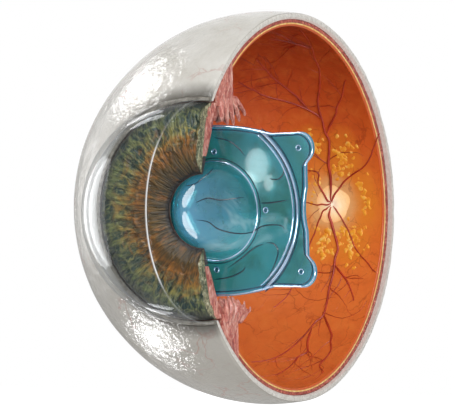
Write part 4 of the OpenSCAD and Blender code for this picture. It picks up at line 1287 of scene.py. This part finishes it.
# Each vessel = a tube along its route, with tubes for its twigs and for theirs.
def makeVessels():
    use = vesselSettings
    material = twoToneFinish("vesselFinish", 4, (150, 38, 22), (194, 68, 40), 0.4, 0.25, 0.1,
                             **{"Coat Roughness": 0.2})
    rng = np.random.default_rng(17)

    def addTwig(grids, twig, thick, sides):
        line = onRetina(twig[:, 0], twig[:, 1], thick * 0.3)
        if line[:, 0].max() < cutSide - 1.5:
            grids.append(tube(line, thick, sides))

    for number, (name, routes) in enumerate(vesselRoutes.items()):
        grids = []
        big = name in ("superior", "inferior")
        for k, route in enumerate(routes):
            start = use["trunk"] * (1 if big else use["branch"]) * (1 if k == 0 else use["branch"])
            path, radius = vesselPath(route, start, number * 10 + k + 1)
            grids.append(tube(overDisc(onRetina(path[:, 0], path[:, 1], radius * 0.2)), radius, use["sides"]))
            for twig, thick in twigPaths(path, radius, rng, 9 if big else 3):
                addTwig(grids, twig, thick, 6)
                for small, thin in twigPaths(twig, thick, rng, 1):
                    addTwig(grids, small, thin, 5)
        gridPiece(name + "Vessels", "globe", material, gridsToRow(grids),
                  replaces=[name + "_vessels"])


makeVessels()


# Disc = a shallow mound on the retina round the nerve's line, with a cup in its middle.
def makeDisc():
    use = discSettings
    turn = np.linspace(0, 2 * np.pi, 97)[None, :]
    share = np.linspace(0, 1, 30)[:, None]
    radius = use["radius"] * share * (1 + 0.06 * np.sin(3 * turn + 1) + 0.04 * np.sin(5 * turn))
    side, up = eye["nerveSide"] + radius * np.cos(turn), radius * np.sin(turn)
    reach, shift = rearSphere(eye["retinaRadius"], eye["retinaDepth"])
    ahead = shift - np.sqrt((reach + shift) ** 2 - side ** 2 - up ** 2)
    rise = discRise(share) - use["sunk"]
    rough = layeredNoise(np.stack([side, up, 0 * side], -1), 1.5, 2, 91)
    rise = rise + use["rough"] * rough * (1 - share)
    gridPiece("opticDisc", "globe", discFinish(), [toRow(side, ahead + rise, up)],
              replaces=["optic_disc"])


# Cream white in the middle to warm cream at the margin, with a faint light of its own.
def discFinish():
    f = Finish("discFinish")
    across = f.axis("X") * 1000 - (eyeSide + eye["nerveSide"])
    up = f.axis("Z") * 1000
    out = (across * across + up * up) ** 0.5 / 6 + (f.noise(3, 3) - 0.5) * 0.25
    colour = f.ramp(out, [(0.0, tint(255, 248, 226)), (0.35, tint(254, 236, 196)), (0.65, tint(251, 220, 168)),
                          (0.85, tint(248, 206, 146)), (1.0, tint(246, 196, 130))])
    return f.done(f.shader({"Base Color": colour, "Roughness": 0.28, "Coat Weight": 0.5,
                            "Normal": f.bump(f.noise(1.2, 3), 0.2), "Emission Color": colour,
                            "Emission Strength": 0.3}))


depositSettings = {"smallest": 0.45, "largest": 1.0, "height": 0.24, "fromCut": 3, "fromDisc": 6.8}


# Deposits = small uneven drops, each a flattened sphere on the retina, strewn round the
# middle of each cluster by a normal law.
def makeDeposits():
    use = depositSettings
    rng = np.random.default_rng(5)
    grids = []
    turn = np.linspace(0, 2 * np.pi, 13)[None, :]
    tilt = np.linspace(0, np.pi, 8)[:, None]
    strewn = [rng.normal((s, u), (ds / 1.7, du / 1.7), (count, 2)) for s, u, ds, du, count in depositClusters]
    for i, (side, up) in enumerate(np.concatenate(strewn)):
        out = math.hypot(side - eye["nerveSide"], up)
        if side > cutSide - use["fromCut"] or out < use["fromDisc"]:
            continue
        size = rng.uniform(use["smallest"], use["largest"]) * (1.2 if rng.uniform() > 0.8 else 0.8)
        polar = math.degrees(math.asin(min(math.hypot(side, up) / 56.2, 1)))
        clock = math.degrees(math.atan2(up, side))
        centre = onRetina(polar, clock, 0.0)
        outward = centre / np.linalg.norm(centre)
        first = np.cross(outward, [0, 0, 1.0])
        first /= np.linalg.norm(first)
        second = np.cross(outward, first)
        lobes = 1 + 0.22 * np.sin(turn * 2 + i) + 0.12 * np.sin(turn * 3 + 2 * i)
        flat = size * np.sin(tilt) * lobes
        across = np.cos(turn)[..., None] * first + np.sin(turn)[..., None] * second
        grids.append(centre + flat[..., None] * across
                     - (use["height"] * size * np.cos(tilt) + 0 * turn)[..., None] * outward)
    f = Finish("depositFinish")
    shade = f.noise(2, 3)
    gold = f.ramp(shade, [(0.3, tint(234, 144, 40)), (0.55, tint(248, 182, 60)), (0.75, tint(254, 222, 130))])
    # painted glow: the drops give off a faint light of their own
    material = f.done(f.shader({"Base Color": gold, "Roughness": 0.35, "Coat Weight": 0.4,
                                "Emission Color": gold, "Emission Strength": 0.06}))
    gridPiece("lipidDrops", "globe", material, gridsToRow(grids),
              replaces=["lipid_deposits"])


# (distance back from the globe's centre, radius) along the sheath, out and back inside
nerveSettings = {"sheath": [(57, 13.2), (57.6, 13.0), (58.4, 12.5), (59.4, 11.6), (60.6, 10.3), (62, 9.6),
                            (66, 9.5), (70, 9.5), (71.7, 9.45), (72, 9.1), (72, 7.4), (72, 5.75), (66, 5.6),
                            (57, 5.6)],
                 "folds": 0.10, "core": 5.5, "coreIn": 0.1, "coreLength": 16, "bundles": 0.10}


# The sheath = its profile turned round the nerve, with long folds; the core = a disc whose
# bundles rise by the size of a noise, and a wall.
def makeNerve():
    use, end = nerveSettings, eye["nerveEnd"]
    back, radius = np.array(use["sheath"]).T
    steps = np.linspace(0, 1, 90)
    known = np.linspace(0, 1, len(back))
    back, radius = np.interp(steps, known, back)[:, None], np.interp(steps, known, radius)[:, None]
    turn = np.linspace(0, 2 * np.pi, 161)[None, :]
    round3 = np.broadcast_arrays(np.cos(turn) * 3, np.sin(turn) * 3, back * 0.12)
    folds = use["folds"] * layeredNoise(np.stack(round3, -1), 0.8, 3, 95) * smoothStep(end - back, 0.2, 3)
    r = radius - np.abs(folds)
    grid = toRow(eye["nerveSide"] + r * np.cos(turn), -back + 0 * turn, r * np.sin(turn))
    material = twoToneFinish("sheathFinish", 5, (196, 184, 166), (232, 224, 210), 0.3, 0.5, 0.3, (4, 0.6))
    gridPiece("nerveSheath", "globe", material, [grid], replaces=["nerve_sheath"])

    # the core's end shows its bundles as small raised cells
    share = np.linspace(0, 1, 60)[:, None]
    core, start = use["core"], end - use["coreIn"]
    radius = core * share
    side, up = radius * np.cos(turn), radius * np.sin(turn)
    cells = np.abs(latticeNoise(np.stack([side, up, 0 * side], -1), 0.8, 97))
    bundle = use["bundles"] * cells * smoothStep(core - radius, 0, 0.5)
    face = toRow(eye["nerveSide"] + side, -(start - bundle), up)
    wall = toRow(eye["nerveSide"] + core * np.cos(turn), -(start - share * use["coreLength"]),
                 core * np.sin(turn))
    f = Finish("nerveFinish")
    dots = f.cells(1.1)
    colour = f.ramp(dots, [(0.2, tint(240, 222, 170)), (0.55, tint(222, 188, 120)), (0.8, tint(176, 130, 80))])
    material = f.done(f.shader({"Base Color": colour, "Roughness": 0.35, "Coat Weight": 0.4,
                                "Normal": f.bump(dots, 0.15)}))
    gridPiece("nerveCore", "globe", material, [face, wall], replaces=["optic_nerve"])
    for node, name, light, dark in (("central_artery", "arteryFinish", (190, 40, 30), (120, 16, 12)),
                                    ("central_vein", "veinFinish", (84, 66, 120), (40, 30, 70))):
        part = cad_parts[node]
        part.data.materials.clear()
        part.data.materials.append(twoToneFinish(name, 1.2, dark, light, 0.3, 0.5, 0.1))


makeDisc()
makeDeposits()
makeNerve()
print("pieces made")


stageSettings = {"floor": -0.55, "fill": 0.42, "floorSize": 6.0, "floorGlow": 1.35, "floorWhite": 0.8,
                 # name: place in the eye's own axes (side, ahead, up) in mm, width and height
                 # in metres, power, and what it lights
                 "lights": {"keyAbove": ((150, 860, 960), 0.9, 0.9, 7.0, "body"),
                            "rightFront": ((950, 700, 420), 0.7, 0.7, 8.0, "body"),
                            "fromBehind": ((-500, -1500, 500), 1.8, 1.8, 4.5, "body"),
                            "scleraTop": ((-810, -160, 590), 0.25, 0.10, 3.0, "sclera"),
                            "scleraLow": ((-560, -60, -480), 0.18, 0.07, 1.5, "sclera"),
                            "scleraLeft": ((-940, -300, 60), 0.10, 0.70, 0.9, "sclera"),
                            "corneaTop": ((-290, -150, 285), 0.07, 0.17, 0.2, "cornea"),
                            "corneaLow": ((-262, -146, -321), 0.05, 0.14, 0.12, "cornea"),
                            "corneaLeft": ((-455, 0, 0), 0.36, 0.44, 2.0, "cornea"),
                            "rimsHigh": ((-450, 750, 600), 0.3, 0.3, 5.0, "rims"),
                            "rimsRight": ((650, 650, -250), 0.3, 0.3, 5.0, "rims"),
                            "retinaPatch": ((-83, 100, -541), 0.05, 0.09, 0.12, "retina"),
                            "domeUpper": ((-366, 225, 190), 0.22, 0.32, 0.75, "lens"),
                            "domeLower": ((-363, 238, -185), 0.22, 0.40, 0.95, "lens"),
                            "lobeLow": ((-217.6, 429.6, 4.6), 0.0105, 0.0115, 0.0015, "lens"),
                            "lobeHigh": ((-211.6, 430.3, 13.0), 0.0095, 0.0145, 0.0017, "lens"),
                            "lobeSide": ((-206.6, 431.3, 5.4), 0.004, 0.007, 0.0004, "lens")},
                 "lit": {"retina": ["retinaShell"], "sclera": ["scleraShell"], "cornea": ["corneaDome"],
                         "rims": ["lensRims", "lensHoles"],
                         "lens": ["plateLens", "lensRims", "lensShade", "lensHoles"]}}


# Background and floor look white to the camera; as light they are softer than they look.
def makeStage():
    use = stageSettings
    scene = bpy.context.scene
    scene.view_settings.view_transform = "Standard"
    world = bpy.data.worlds.new("world")
    world.use_nodes = True
    scene.world = world
    tree = world.node_tree
    path, both = tree.nodes.new("ShaderNodeLightPath"), tree.nodes.new("ShaderNodeMixShader")
    shown, soft = tree.nodes["Background"], tree.nodes.new("ShaderNodeBackground")
    for node, strength in ((shown, 1.0), (soft, use["fill"])):
        node.inputs["Color"].default_value = (1, 1, 1, 1)
        node.inputs["Strength"].default_value = strength
    tree.links.new(path.outputs["Is Camera Ray"], both.inputs[0])
    tree.links.new(soft.outputs[0], both.inputs[1])
    tree.links.new(shown.outputs[0], both.inputs[2])
    tree.links.new(both.outputs[0], tree.nodes["World Output"].inputs["Surface"])
    level, far = use["floor"], use["floorSize"]
    mesh = bpy.data.meshes.new("floor")
    corners = [(-far, -far, level), (far, -far, level), (far, far, level), (-far, far, level)]
    mesh.from_pydata(corners, [], [(0, 1, 2, 3)])
    floor = bpy.data.objects.new("floor", mesh)
    scene.collection.objects.link(floor)
    f = Finish("floorFinish")
    pale = f.shader({"Base Color": (0.85, 0.85, 0.85, 1), "Roughness": 0.9})
    bright = f.shader({"Base Color": (0, 0, 0, 1), "Specular IOR Level": 0.0, "Emission Color": (1, 1, 1, 1),
                       "Emission Strength": use["floorGlow"]})
    seen = f.put("ShaderNodeLightPath", None, None, "Is Camera Ray") * use["floorWhite"]
    mesh.materials.append(f.done(f.put("ShaderNodeMixShader", None, {0: seen, 1: pale, 2: bright})))
    lensAndCornea = use["lit"]["lens"] + use["lit"]["cornea"]
    groups = dict(use["lit"], body=[piece.name for piece in scene.objects if piece.type == "MESH"
                                    and piece.name not in lensAndCornea])
    for name, names in groups.items():
        groups[name] = bpy.data.collections.new(name + "Lit")
        for piece in names:
            groups[name].objects.link(bpy.data.objects[piece])
    # each lamp looks at the lens's face or at the middle of the eye, and lights its group alone
    lensFace = lensSettings["back"] + lensSettings["wall"]
    for name, (place, width, height, power, lit) in use["lights"].items():
        lamp = bpy.data.lights.new(name, "AREA")
        lamp.shape, lamp.size, lamp.size_y, lamp.energy = "ELLIPSE", width, height, power
        holder = bpy.data.objects.new(name, lamp)
        holder.location = toRow(*place)
        target = (cutSide, lensFace, 0) if lit == "lens" else (0, 0, 0)
        aim = Vector(toRow(*target)) - holder.location
        holder.rotation_euler = aim.to_track_quat("-Z", "Y").to_euler()
        holder.light_linking.receiver_collection = groups[lit]
        holder.light_linking.blocker_collection = groups["body"]
        scene.collection.objects.link(holder)


makeStage()
